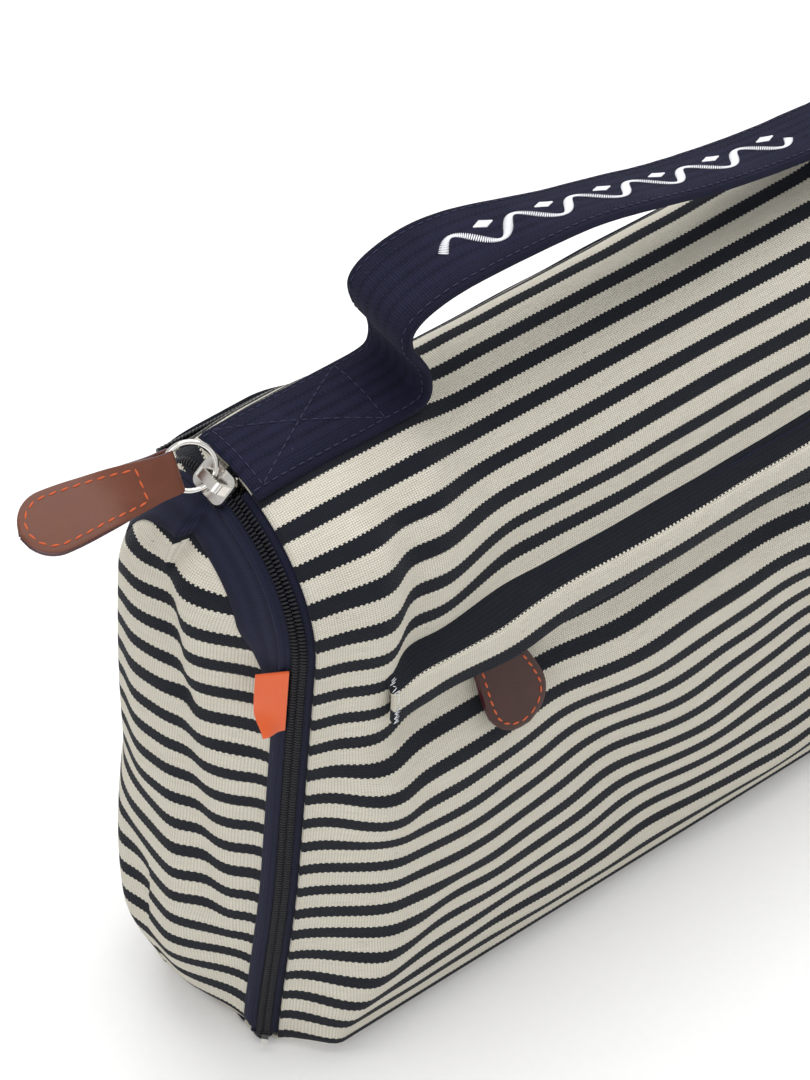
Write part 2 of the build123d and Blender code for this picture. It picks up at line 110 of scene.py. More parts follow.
def apply_modifier(obj: bpy.types.Object, kind: str, **settings: object) -> None:
    """Add one modifier with its settings and apply it.

    Args:
        obj: The mesh object.
        kind: The modifier's type.
        settings: Values for the modifier's own fields.
    """
    pick(obj)
    modifier = obj.modifiers.new(kind.title(), kind)
    for name, value in settings.items():
        setattr(modifier, name, value)
    bpy.ops.object.modifier_apply(modifier=modifier.name)


def draped(name: str, steps: tuple[int, int], cut: tuple[float, float], place: Place,
           closed: bool = False) -> bpy.types.Object:
    """Add a flat grid and lay each of its points where the cloth goes.

    Args:
        name: The piece's name.
        steps: How many faces across and along.
        cut: The cloth's flat width and length, which its UV map is scaled to.
        place: Gives a point from the shares across and along, each 0 to 1.
        closed: Whether two opposite edges meet and are merged.

    Returns:
        The new mesh object, with a UV map in metres.
    """
    clear_selection()
    bpy.ops.mesh.primitive_grid_add(x_subdivisions=steps[0], y_subdivisions=steps[1], size=2)
    obj = bpy.context.object
    obj.name = name
    for vertex in obj.data.vertices:
        vertex.co = place((vertex.co.x + 1) / 2, (vertex.co.y + 1) / 2)
    for loop in obj.data.uv_layers.active.data:
        loop.uv = (loop.uv[0] * cut[0], loop.uv[1] * cut[1])
    if closed:
        edit_all(obj, lambda: bpy.ops.mesh.remove_doubles(threshold=0.02 * MM))
    bpy.ops.object.shade_smooth()
    return obj


def thicken(obj: bpy.types.Object, thick: float, inward: bool = True) -> None:
    """Give a sheet its thickness, on the side away from its face normals when inward."""
    apply_modifier(obj, "SOLIDIFY", thickness=thick, offset=-1.0 if inward else 1.0, use_even_offset=False,
                   use_rim=True)
    bpy.ops.object.shade_smooth()


def round_edges(obj: bpy.types.Object, width: float) -> None:
    """Bevel a piece's sharp edges."""
    apply_modifier(obj, "BEVEL", width=width, segments=2, limit_method="ANGLE", angle_limit=math.radians(60))


def shade_by_angle(obj: bpy.types.Object, degrees: float) -> None:
    """Shade a piece smooth, apart from edges sharper than an angle."""
    pick(obj)
    bpy.ops.object.shade_smooth_by_angle(angle=math.radians(degrees))


def fit(piece: bpy.types.Object, material: bpy.types.Material, slot: str, body: str, *nodes: str) -> None:
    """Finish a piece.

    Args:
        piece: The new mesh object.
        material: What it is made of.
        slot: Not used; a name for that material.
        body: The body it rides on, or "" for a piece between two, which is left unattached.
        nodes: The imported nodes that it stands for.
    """
    piece.data.materials.append(material)
    if nodes:
        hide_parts(*nodes)
    if body:
        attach(piece, body)


def face_outwards(obj: bpy.types.Object) -> None:
    """Point every face of a closed mesh outwards."""
    edit_all(obj, lambda: bpy.ops.mesh.normals_make_consistent(inside=False))


def bead(segments: int, rings: int, size: tuple[float, float, float]) -> bpy.types.Object:
    """A small rounded bead at the origin, the start of a stitch or a zip element.

    Args:
        segments: Faces round it.
        rings: Faces from end to end.
        size: Its full length, width and height.
    """
    clear_selection()
    bpy.ops.mesh.primitive_uv_sphere_add(segments=segments, ring_count=rings, radius=0.5)
    obj = bpy.context.object
    edit_all(obj, lambda: bpy.ops.transform.rotate(value=math.pi / 2, orient_axis="Y",
                                                   center_override=(0, 0, 0)),
             lambda: bpy.ops.transform.resize(value=size))
    return obj


def repeat(name: str, model: bpy.types.Object, places: Iterable[Matrix]) -> bpy.types.Object:
    """Copy one small piece to many places, as one object.

    Args:
        name: The new object's name.
        model: The piece to copy, which is removed afterwards.
        places: One matrix for each copy.
    """
    points = [v.co.copy() for v in model.data.vertices]
    faces = [tuple(p.vertices) for p in model.data.polygons]
    all_points: list[Vector] = []
    all_faces: list[tuple[int, ...]] = []
    for matrix in places:
        start = len(all_points)
        all_points += [matrix @ p for p in points]
        all_faces += [tuple(i + start for i in f) for f in faces]
    mesh = bpy.data.meshes.new(name)
    mesh.from_pydata(all_points, [], all_faces)
    obj = bpy.data.objects.new(name, mesh)
    bpy.context.collection.objects.link(obj)
    bpy.data.objects.remove(model)
    pick(obj)
    bpy.ops.object.shade_smooth()
    return obj


def axes(origin: Vector, along: Vector, up: Vector) -> Matrix:
    """The matrix whose X runs along a direction and whose Z is nearest to up, at origin."""
    x = along.normalized()
    y = up.cross(x).normalized()
    z = x.cross(y)
    turn = Matrix((x, y, z)).transposed()
    return Matrix.Translation(origin) @ turn.to_4x4()


def spline_points(corners: Sequence[tuple[float, float]], rounds: int = 5) -> list[Vector]:
    """Round a line's corners off, as a quadratic B-spline does.

    Args:
        corners: The line's points in X and Z, in metres.
        rounds: How many times the corners are cut.
    """
    points = [Vector((x, 0, z)) for x, z in corners]
    for _ in range(rounds):
        cut = [points[0]]
        for a, b in zip(points, points[1:]):
            cut += [a.lerp(b, 0.25), a.lerp(b, 0.75)]
        points = [*cut, points[-1]]
    return points


class Route:
    """A smooth line that can be walked by distance."""

    def __init__(self, points: Sequence[Vector]) -> None:
        """Measure the line through the points."""
        self.points = list(points)
        self.marks = [0.0]
        for a, b in zip(self.points, self.points[1:]):
            self.marks.append(self.marks[-1] + (b - a).length)
        self.length = self.marks[-1]

    def at(self, distance: float) -> Vector:
        """The point that far along the line."""
        distance = min(self.length, max(0.0, distance))
        low = min(bisect_right(self.marks, distance) - 1, len(self.marks) - 2)
        span = self.marks[low + 1] - self.marks[low]
        share = (distance - self.marks[low]) / span if span else 0.0
        return self.points[low].lerp(self.points[low + 1], share)

    def heading(self, distance: float, reach: float = 1.0 * MM) -> Vector:
        """The direction of the line there, averaged over a short reach."""
        return (self.at(distance + reach) - self.at(distance - reach)).normalized()


# ---- materials -------------------------------------------------------------------------------------
class Wire:
    """A node's output, so that shader maths reads as arithmetic."""

    def __init__(self, recipe: "Recipe", socket: bpy.types.NodeSocket) -> None:
        """Wrap one output socket."""
        self.recipe, self.socket = recipe, socket

    def _math(self, operation: str, *values: "Wire | float") -> "Wire":
        """One Math node on this value and the others."""
        inputs = {i: v for i, v in enumerate((self, *values))}
        return self.recipe.node("ShaderNodeMath", {"operation": operation}, inputs)

    def __add__(self, other: "Wire | float") -> "Wire":
        """Sum."""
        return self._math("ADD", other)

    __radd__ = __add__

    def __mul__(self, other: "Wire | float") -> "Wire":
        """Product."""
        return self._math("MULTIPLY", other)

    __rmul__ = __mul__

    def __sub__(self, other: "Wire | float") -> "Wire":
        """Difference."""
        return self._math("SUBTRACT", other)

    def __rsub__(self, other: float) -> "Wire":
        """Difference, the other way round."""
        return self.recipe.node("ShaderNodeMath", {"operation": "SUBTRACT"}, {0: other, 1: self})

    def __truediv__(self, other: "Wire | float") -> "Wire":
        """Quotient."""
        return self._math("DIVIDE", other)

    def __gt__(self, other: "Wire | float") -> "Wire":
        """1 where this is greater, otherwise 0."""
        return self._math("GREATER_THAN", other)

    def sin(self) -> "Wire":
        """Sine of a value in radians."""
        return self._math("SINE")

    def floor(self) -> "Wire":
        """Whole part."""
        return self._math("FLOOR")

    def part(self) -> "Wire":
        """Part after the point."""
        return self._math("FRACT")

    def wrap(self, size: float) -> "Wire":
        """What is left over from whole multiples of size."""
        return self._math("FLOORED_MODULO", size)

    def clamp(self) -> "Wire":
        """The value held between 0 and 1."""
        return self.recipe.node("ShaderNodeClamp", {}, {"Value": self})


class Recipe:
    """One material under construction."""

    def __init__(self, name: str) -> None:
        """Start a material with an empty node tree and its surface shader."""
        self.material = bpy.data.materials.new(name)
        self.material.use_nodes = True
        self.tree = self.material.node_tree
        self.tree.nodes.clear()
        self.output = self.tree.nodes.new("ShaderNodeOutputMaterial")
        self.shader = self.tree.nodes.new("ShaderNodeBsdfPrincipled")
        self.tree.links.new(self.shader.outputs[0], self.output.inputs[0])

    def node(self, kind: str, settings: dict | None = None, inputs: dict | None = None,
             output: str | int = 0) -> Wire:
        """Add a node.

        Args:
            kind: The node's type.
            settings: Its own fields, set first; stops is a list of (place, colour) for a ramp.
            inputs: Values or wires by socket name or number.
            output: The output socket to hand back.
        """
        made = self.tree.nodes.new(kind)
        for key, value in (settings or {}).items():
            if key == "stops":
                ramp = made.color_ramp
                while len(ramp.elements) < len(value):
                    ramp.elements.new(0.5)
                for element, (place, colour) in zip(ramp.elements, value):
                    element.position, element.color = place, colour
            else:
                setattr(made, key, value)
        for key, value in (inputs or {}).items():
            self.put(made.inputs[key], value)
        return Wire(self, made.outputs[output])

    def put(self, socket: bpy.types.NodeSocket, value: object) -> None:
        """Link a wire to a socket, or set the socket's own value."""
        if isinstance(value, Wire):
            self.tree.links.new(value.socket, socket)
        else:
            socket.default_value = value

    def mix(self, factor: Wire | float, first: object, second: object) -> Wire:
        """A colour between two others."""
        made = self.tree.nodes.new("ShaderNodeMix")
        made.data_type = "RGBA"
        for socket, value in ((made.inputs[0], factor), (made.inputs[6], first), (made.inputs[7], second)):
            self.put(socket, value)
        return Wire(self, made.outputs[2])

    def split(self, vector: Wire) -> tuple[Wire, Wire, Wire]:
        """The three numbers of a vector."""
        made = self.tree.nodes.new("ShaderNodeSeparateXYZ")
        self.put(made.inputs[0], vector)
        return tuple(Wire(self, o) for o in made.outputs)

    def coords(self, kind: str) -> Wire:
        """The piece's UV or Object coordinates, in millimetres."""
        here = self.node("ShaderNodeTexCoord", output=kind)
        return self.node("ShaderNodeVectorMath", {"operation": "SCALE"}, {0: here, "Scale": 1 / MM})

    def weave(self, uv: Wire, wide: float, high: float) -> tuple[Wire, Wire, Wire, Wire]:
        """A plain weave.

        Args:
            uv: The cloth's coordinates.
            wide: One yarn's width across the cloth, in millimetres.
            high: The same up the cloth.

        Returns:
            Which yarn is on top as 0 or 1, the rounding across, the rounding along, and the row.
        """
        u, v, _ = self.split(uv)
        col, row = u / wide, v / high
        over = ((col.floor() + row.floor()).wrap(2.0)) > 0.5
        return over, (col.part() * math.pi).sin(), (row.part() * math.pi).sin(), row

    def noise(self, vector: Wire, size: float, detail: float = 2.0,
              stretch: Sequence[float] = (1, 1, 1)) -> Wire:
        """A noise of about that grain size in millimetres, centred on 0.5."""
        scaled = self.node("ShaderNodeMapping", {}, {"Vector": vector, "Scale": stretch})
        return self.node("ShaderNodeTexNoise", {}, {"Vector": scaled, "Scale": 1.0 / size, "Detail": detail})

    def bump(self, height: Wire, depth_mm: float, strength: float = 1.0) -> None:
        """Raise the surface by a height of 0 to 1 times depth_mm."""
        made = self.node("ShaderNodeBump", {}, {"Height": height, "Distance": depth_mm * MM,
                                                "Strength": strength})
        self.put(self.shader.inputs["Normal"], made)

    def finish(self, **sockets: object) -> bpy.types.Material:
        """Set the shader's sockets, named with underscores for spaces, and hand the material over."""
        for name, value in sockets.items():
            self.put(self.shader.inputs[name.replace("_", " ")], value)
        return self.material


def tint(red: int, green: int, blue: int) -> tuple[float, float, float, float]:
    """A shader colour from the everyday 0 to 255 numbers."""
    def linear(value: int) -> float:
        """One channel without its display curve."""
        share = value / 255
        return share / 12.92 if share <= 0.04045 else ((share + 0.055) / 1.055) ** 2.4
    return linear(red), linear(green), linear(blue), 1.0


@dataclass(frozen=True)
class Canvas:
    """Yarn-dyed cotton duck with a navy stripe."""
    name: str
    shift: float = 0.0            # where the stripes start, in mm up the cloth
    pitch: float = 12.05
    navy_share: float = 0.43
    thread: float = 0.74          # one over-and-under of the weave, in mm
    cream: tuple = tint(226, 222, 208)
    navy: tuple = tint(15, 20, 31)

    def make(self) -> bpy.types.Material:
        """Build the cloth's material."""
        r = Recipe(self.name)
        uv = r.coords("UV")
        wander = r.noise(uv, 60.0, 1.0) - 0.5
        pick_high = self.thread * 0.85
        over, across, along, row = r.weave(uv, self.thread, pick_high)
        warp = across * (0.55 + 0.45 * along)
        weft = along * (0.55 + 0.45 * across)
        height = over * warp + (1.0 - over) * weft
        slub = r.noise(uv, 0.9, 1.0, (0.12, 1.0, 1.0))
        # each stripe is a whole number of picks: its edge steps with the weave
        step = (row + over * 0.55 + wander * 0.8).floor() * pick_high
        phase = (step + self.shift).wrap(self.pitch) / self.pitch
        is_navy = 1.0 - (phase > self.navy_share)
        cream = r.mix((slub - 0.3).clamp(), self.cream, tint(196, 190, 174))
        patch = r.noise(uv, 14.0, 3.0)
        cream = r.mix((patch * 0.5).clamp(), cream, tint(212, 206, 190))
        fleck = (r.noise(uv, 1.3, 2.0, (0.45, 1.0, 1.0)) - 0.70) * 9.0
        cream = r.mix(fleck.clamp() * 0.55, cream, tint(126, 96, 66))
        navy = r.mix((slub * 0.8).clamp(), self.navy, tint(24, 31, 44))
        base = r.mix(is_navy, cream, navy)
        # painted shade: the hollows between the yarns are darkened on the cream and on the navy stripes
        painted_weave_shade = (1.0 - height) * 0.42
        base = r.mix(painted_weave_shade * (1.0 - is_navy * 0.6), base, tint(96, 88, 76))
        base = r.mix(painted_weave_shade * is_navy, base, tint(6, 8, 14))
        r.bump(height + slub * 0.35, 0.22, 0.9)
        return r.finish(Base_Color=base, Roughness=0.92, Specular_IOR_Level=0.12, Sheen_Weight=0.04)


@dataclass(frozen=True)
class Twill:
    """Solid navy cotton with a fine diagonal rib."""
    name: str
    dark: tuple = tint(15, 16, 31)
    light: tuple = tint(36, 37, 60)
    rib: float = 0.78
    grain: float = 0.9

    def make(self) -> bpy.types.Material:
        """Build the cloth's material."""
        r = Recipe(self.name)
        uv = r.coords("UV")
        over, across, along, _ = r.weave(uv, self.rib, self.rib)
        height = over * (across * (0.5 + 0.5 * along)) + (1.0 - over) * (along * (0.5 + 0.5 * across)) * 0.8
        slub = r.noise(uv, 0.7, 2.0, (0.25, 1.0, 1.0))
        wear = r.noise(uv, 18.0, 4.0)
        # painted shade: raised yarns lighter and hollows darker, following the bump height, mixed with the
        # yarns' own slub
        base = r.mix((height * 0.75 + slub * 0.35 - 0.2).clamp(), self.dark, self.light)
        base = r.mix(((wear - 0.45) * 1.4).clamp() * 0.35, base, tint(50, 50, 74))
        lint = ((r.noise(uv, 1.1, 2.0) - 0.73) * 12.0).clamp()
        base = r.mix(lint * 0.4, base, tint(150, 148, 158))
        r.bump(height + slub * 0.3, 0.2, 0.9)
        return r.finish(Base_Color=base, Roughness=self.grain, Specular_IOR_Level=0.14, Sheen_Weight=0.05,
                        Sheen_Tint=tint(120, 122, 150))


@dataclass(frozen=True)
class Ribbed:
    """Woven zip tape or binding with a rib across it."""
    name: str
    dark: tuple = tint(17, 19, 34)
    light: tuple = tint(40, 43, 66)

    def make(self) -> bpy.types.Material:
        """Build the tape's material."""
        r = Recipe(self.name)
        uv = r.coords("UV")
        u, v, _ = r.split(uv)
        rib = (v * (2 * math.pi / 0.62)).sin() * 0.5 + 0.5
        knit = (u * (2 * math.pi / 0.9)).sin() * 0.5 + 0.5
        fuzz = r.noise(uv, 0.5, 2.0)
        # painted shade: crests of the rib and knit lighter, grooves darker, mixed with the yarn's own fuzz
        base = r.mix((rib * 0.5 + knit * 0.25 + fuzz * 0.35 - 0.15).clamp(), self.dark, self.light)
        r.bump(rib * 0.7 + knit * 0.3, 0.15, 0.8)
        return r.finish(Base_Color=base, Roughness=0.85, Specular_IOR_Level=0.15, Sheen_Weight=0.04)


@dataclass(frozen=True)
class Leather:
    """Smooth waxed leather, paler where it is rubbed."""
    name: str
    body: tuple
    worn: tuple
    rough: float = 0.42

    def make(self) -> bpy.types.Material:
        """Build the leather's material."""
        r = Recipe(self.name)
        here = r.coords("Object")
        cloudy = r.noise(here, 7.0, 4.0)
        pores = r.noise(here, 0.45, 2.0)
        crease = r.noise(here, 2.4, 3.0)
        base = r.mix(((cloudy - 0.35) * 1.6).clamp(), self.body, self.worn)
        base = r.mix(((pores - 0.62) * 5.0).clamp() * 0.5, base, tint(48, 26, 20))
        rough = r.node("ShaderNodeMapRange", {}, {"Value": cloudy, "To Min": self.rough - 0.08,
                                                  "To Max": self.rough + 0.12})
        r.bump(pores * 0.5 + crease * 0.7, 0.12, 0.6)
        return r.finish(Base_Color=base, Roughness=rough, Specular_IOR_Level=0.3, Coat_Weight=0.05,
                        Coat_Roughness=0.3)


@dataclass(frozen=True)
class Plain:
    """A plain stock with a fine grain: thread, label cloth, lining, painted edge or coil."""
    name: str
    body: tuple
    other: tuple
    rough: float = 0.8
    size: float = 0.6
    depth: float = 0.08
    sheen: float = 0.0

    def make(self) -> bpy.types.Material:
        """Build the material."""
        r = Recipe(self.name)
        here = r.coords("Object")
        fine = r.noise(here, self.size, 3.0)
        broad = r.noise(here, self.size * 14, 2.0)
        base = r.mix((fine * 0.6 + broad * 0.5 - 0.1).clamp(), self.body, self.other)
        r.bump(fine, self.depth, 0.7)
        return r.finish(Base_Color=base, Roughness=self.rough, Specular_IOR_Level=0.25,
                        Sheen_Weight=self.sheen)


@dataclass(frozen=True)
class Woven:
    """Plain-woven lining or label cloth."""
    name: str
    body: tuple
    other: tuple
    thread: float = 0.5

    def make(self) -> bpy.types.Material:
        """Build the cloth's material."""
        r = Recipe(self.name)
        uv = r.coords("UV")
        u, v, _ = r.split(uv)
        weave = (u * (2 * math.pi / self.thread)).sin() * (v * (2 * math.pi / self.thread)).sin() * 0.5 + 0.5
        broad = r.noise(uv, 9.0, 3.0)
        base = r.mix((weave * 0.4 + broad * 0.5).clamp(), self.body, self.other)
        r.bump(weave, 0.1, 0.7)
        return r.finish(Base_Color=base, Roughness=0.85, Sheen_Weight=0.15)


@dataclass(frozen=True)
class Plated:
    """Bright nickel plate with faint rubbing marks."""
    name: str
    colour: tuple = (0.80, 0.78, 0.74, 1.0)
    rough: float = 0.17

    def make(self) -> bpy.types.Material:
        """Build the metal's material."""
        r = Recipe(self.name)
        here = r.coords("Object")
        rub = r.noise(here, 1.1, 4.0, (1.0, 0.35, 1.0))
        dull = r.noise(here, 3.0, 2.0)
        rough = r.node("ShaderNodeMapRange", {}, {"Value": rub, "To Min": self.rough - 0.06,
                                                  "To Max": self.rough + 0.14})
        base = r.mix(dull, self.colour, (0.62, 0.60, 0.57, 1.0))
        r.bump(rub, 0.02, 0.4)
        return r.finish(Base_Color=base, Roughness=rough, Metallic=1.0)


# ---- the bag's own outline -------------------------------------------------------------------------
class Side(Enum):
    """The two ends of the bag."""
    LEFT = -1
    RIGHT = 1

    @property
    def word(self) -> str:
        """The end's name as pieces and nodes spell it."""
        return self.name.lower()


@dataclass(frozen=True)
class Fold:
    """A soft ridge, or a trough where the height is negative, along a straight line on a panel."""
    start: tuple[float, float]
    end: tuple[float, float]
    height: float
    width: float

    def lift(self, a: float, b: float) -> float:
        """How far the fold raises the cloth at a point, all in millimetres."""
        ax, ay = self.start
        dx, dy = self.end[0] - ax, self.end[1] - ay
        share = ((a - ax) * dx + (b - ay) * dy) / (dx * dx + dy * dy)
        near = min(1.0, max(0.0, share))
        gap = math.hypot(a - ax - near * dx, b - ay - near * dy)
        fade = 1.0 - 0.35 * abs(2 * near - 1) ** 2
        return self.height * fade * math.exp(-((gap / self.width) ** 2))


@dataclass(frozen=True)
class BagForm:
    """The section of the bag and its seams, with sizes from the frame."""
    half: float
    radius: float
    crown: float
    bevel: float = 10 * MM
    foot: float = 5 * MM
    tuck_front: float = 4 * MM
    tuck_back: float = 15 * MM
    tuck_high: float = 100 * MM       # the height up to which the foot is tucked in
    zip_angle: float = 145.0
    front_edge: float = 36.5 * MM     # the end panel's front edge, from the crown axis
    back_edge: float = 42.8 * MM
    slump: float = 12 * MM            # how far the back of the soft crown drops
    belly: float = 15 * MM
    dip: float = 7.5 * MM

    @classmethod
    def read(cls) -> "BagForm":
        """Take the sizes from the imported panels."""
        base_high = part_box("bottom_panel")[1]
        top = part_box("front_panel")[1][2]
        return cls(half=base_high[0], radius=base_high[1], crown=top - base_high[1])

    @property
    def shoulder(self) -> float:
        """Distance up the cloth where the flat front turns into the rounded top."""
        return self.foot * math.pi / 2 + self.crown - self.foot

    def low_share(self, z: float) -> float:
        """How much of the tuck a height gets: 1 on the ground, 0 above the tucked-in part."""
        return 1 - smooth(z / self.tuck_high)

    def on_top(self, angle: float) -> float:
        """Distance up the cloth at an angle over the rounded top, in degrees from the front."""
        return self.shoulder + self.radius * math.radians(angle)

    def up_front(self, z: float) -> float:
        """Distance up the cloth at a height on the flat front."""
        return z + self.foot * (math.pi / 2 - 1)

    def section(self, s: float, r: float) -> tuple[Vector, Vector]:
        """A point on the section and its outward normal, both with X at 0.

        Args:
            s: Distance up the cloth from the front foot.
            r: Distance from the crown axis; the cloth's own is the radius.
        """
        middle = self.on_top(90.0)
        if s > middle:
            point, normal = self._front(2 * middle - s, r, self.tuck_back)
            return Vector((0, -point.y, point.z)), Vector((0, -normal.y, normal.z))
        return self._front(s, r, self.tuck_front)

    def _front(self, s: float, r: float, tuck: float) -> tuple[Vector, Vector]:
        """The front half of the section, with its lower end tucked in by tuck."""
        foot, radius = self.foot, self.radius
        if s < foot * math.pi / 2:
            a, reach = s / foot, foot + min(0.0, r - radius)
            normal = Vector((0, -math.sin(a), -math.cos(a)))
            point = Vector((0, foot - radius, foot)) + normal * reach
        elif s < self.shoulder:
            normal = Vector((0, -1, 0))
            point = Vector((0, -r, s - self.foot * (math.pi / 2 - 1)))
        else:
            a = (s - self.shoulder) / radius
            normal = Vector((0, -math.cos(a), math.sin(a)))
            point = Vector((0, 0, self.crown)) + normal * r
        point.y += tuck * self.low_share(point.z)
        return point, normal

    def settle(self, piece: bpy.types.Object) -> None:
        """Lower the back half of the soft crown on a finished piece."""
        for vertex in piece.data.vertices:
            y, z = vertex.co.y, vertex.co.z
            behind, high = smooth((y - 12 * MM) / (22 * MM)), smooth((z - 90 * MM) / (110 * MM))
            vertex.co.z = z - self.slump * behind * high
        piece.data.update()

    def sag(self, x: float, s: float) -> float:
        """How far the soft crown sinks between the handle's ends."""
        middle = self.on_top(90.0)
        away = abs(s - middle)
        along = smooth((104 * MM - abs(x)) / (40 * MM))
        return self.dip * along * smooth((104 * MM - away) / (38 * MM))

    def seam(self, side: Side, s: float, across: float, above: float) -> Vector:
        """A point on the bevel of an end seam.

        Args:
            side: Which end.
            s: Distance up the cloth.
            across: From the zip's centre towards the end panel.
            above: Outwards from the zip's centre.
        """
        x = self.half - self.bevel / 2 + (across + above) * HALF_ROOT
        point, _ = self.section(s, self.radius - self.bevel / 2 + (above - across) * HALF_ROOT)
        point.x = side.value * x
        return point

    def seam_axes(self, side: Side, s: float, across: float, above: float) -> Matrix:
        """Axes on an end seam: X up the seam, Z outwards."""
        here = self.seam(side, s, across, above)
        ahead = self.seam(side, s + 0.5 * MM, across, above)
        outer = self.seam(side, s, across, above + 1 * MM)
        return axes(here, ahead - here, outer - here)

    def end_x(self, y: float, z: float, folds: Sequence[Fold] = (), side: Side = Side.LEFT) -> float:
        """How far out the soft end panel stands at a place on it."""
        r = abs(y) if z < self.crown else math.hypot(y, z - self.crown)
        edge = self.front_edge if y < 0 else self.back_edge
        inside = max(0.0, edge - r)
        base = self.half - self.bevel + self.radius - edge
        low = 0.35 + 0.65 * smooth(z / (45 * MM))
        full = self.half - base + self.belly * smooth(inside / (26 * MM)) * low
        out = base + full * (1 - math.exp(-inside / (6 * MM))) - 5 * MM * (1 - smooth(z / (14 * MM)))
        near_edge = smooth(inside / (9 * MM))
        ripple = noise.noise(Vector((y * 24, z * 13, 7.3 * side.value))) * 1.5 * MM
        return out + near_edge * (ripple + MM * sum(f.lift(y / MM, z / MM) for f in folds))


# ---- canvas ----------------------------------------------------------------------------------------
@dataclass
class CanvasShell:
    """The striped panels: front and top in one, back, two ends and the bottom."""
    form: BagForm
    edge: float = 141.6 * MM          # where the front cloth is caught in the zip seam
    thick: float = 1.2 * MM
    roll: float = 11 * MM             # how soon the cloth turns down into the seam
    sink: float = 1.3 * MM            # how deep the seam lies under the flat face
    bulge: float = 2.4 * MM
    stuffing: float = 11.0 * MM       # how far the full bag pushes its front out, below the pocket
    full_below: float = 166 * MM      # the height under which it starts to
    mouth: tuple[float, float, float] = (118 * MM, 171 * MM, 190.5 * MM)  # the pocket's opening: x, z, z
    door_end: float = 138.6           # where the door's cloth ends over the crown, in degrees
    back_start: float = 151.4         # where the back's cloth starts
    front_stripe: float = 5.75
    end_stripe: float = 4.0
    front_folds: tuple[Fold, ...] = (
        Fold((-123, 130), (-119, 232), 4.6, 10), Fold((-104, 246), (-110, 196), -3.6, 8),
        Fold((-88, 262), (-96, 236), 2.6, 9), Fold((-62, 150), (-4, 36), -2.8, 15),
        Fold((-34, 152), (24, 60), 2.0, 16), Fold((-96, 120), (-70, 60), 1.6, 14),
        Fold((30, 150), (80, 40), -2.4, 16), Fold((96, 160), (118, 50), 2.2, 13),
        Fold((-128, 30), (-96, 84), 1.6, 10), Fold((104, 250), (112, 200), -2.2, 9),
        Fold((-60, 24), (60, 20), 1.6, 10), Fold((-20, 232), (70, 226), -1.2, 14))
    left_folds: tuple[Fold, ...] = (
        Fold((2, 222), (-10, 170), -3.4, 6), Fold((-10, 170), (-20, 70), -3.8, 5.5),
        Fold((12, 206), (4, 120), 2.6, 8), Fold((-26, 150), (-29, 60), 2.0, 6),
        Fold((34, 150), (6, 44), -2.6, 9), Fold((14, 96), (24, 30), 2.6, 9))
    right_folds: tuple[Fold, ...] = (
        Fold((4, 224), (-6, 150), -4.0, 6), Fold((-6, 150), (2, 60), -3.0, 7),
        Fold((20, 190), (18, 90), 2.4, 9), Fold((-24, 130), (-20, 40), 2.0, 8))

    def lift(self, x: float, s: float, seed: float, folds: Sequence[Fold]) -> float:
        """How far the cloth stands off the plain section.

        Args:
            x: Place along the bag.
            s: Distance up the cloth.
            seed: Picks the pattern of small waves.
            folds: The larger folds, in millimetres.
        """
        inside = max(0.0, self.edge - abs(x))
        rise = 1 - math.exp(-inside / self.roll)
        waves = noise.noise(Vector((x * 17, s * 19, seed))) * 1.5 * MM
        waves += noise.noise(Vector((x * 52, s * 60, seed + 4))) * 0.35 * MM
        large = MM * sum(f.lift(x / MM, s / MM) for f in folds)
        behind = smooth((s - self.form.on_top(100.0)) / (16 * MM)) * (s < self.form.on_top(145.0))
        large -= 1.6 * MM * behind
        return -self.sink + (self.sink + self.bulge) * rise + smooth(inside / (14 * MM)) * (waves + large)

    def panel_point(self, x: float, s: float, seed: float = 1.7,
                    folds: Sequence[Fold] | None = None, extra: float = 0.0) -> Vector:
        """A point on the front or back cloth, raised by extra."""
        chosen = self.front_folds if folds is None else folds
        foot_end = self.form.foot * math.pi / 2
        calm = smooth((s - foot_end) / (24 * MM)) if s > foot_end else 0.0
        lift = self.lift(x, s, seed, chosen)
        lift = lift * calm if lift > 0 else lift
        point, _ = self.form.section(s, self.form.radius + lift + extra - self.form.sag(x, s))
        if point.y < 0:
            z = point.z
            inner = smooth((self.edge - abs(x)) / lerp(15 * MM, 29 * MM, smooth(z / (70 * MM))))
            if not extra:             # the cloth itself lies flat in the pocket's opening
                point.y = lerp(point.y, -self.form.radius + 0.1 * MM, self.in_mouth(x, z))
            fill = self.stuffing * smooth((self.full_below - z) / (34 * MM))
            fill *= 0.75 + 0.25 * min(1.0, z / (40 * MM))
            untuck = self.form.tuck_front * self.form.low_share(z)
            point.y -= (fill + untuck) * inner * smooth(z / (6 * MM))
        point.x = x
        return point

    def in_mouth(self, x: float, z: float) -> float:
        """1 in the pocket's opening and 0 outside it."""
        (half, low, high), soft = self.mouth, 3 * MM
        return smooth((half - abs(x)) / soft) * smooth((z - low) / soft) * smooth((high - z) / soft)

    def front(self) -> None:
        """The front panel with the top in one piece, up to the zip behind the crown."""
        length = self.form.on_top(self.door_end)
        cloth = draped("front_canvas", (150, 176), (2 * self.edge, length),
                       lambda u, v: self.panel_point((2 * u - 1) * self.edge, v * length))
        thicken(cloth, self.thick)
        fit(cloth, Canvas("front_stripe", self.front_stripe).make(), "striped_canvas", "", "front_panel")
        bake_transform(cloth)
        2 * self.edge

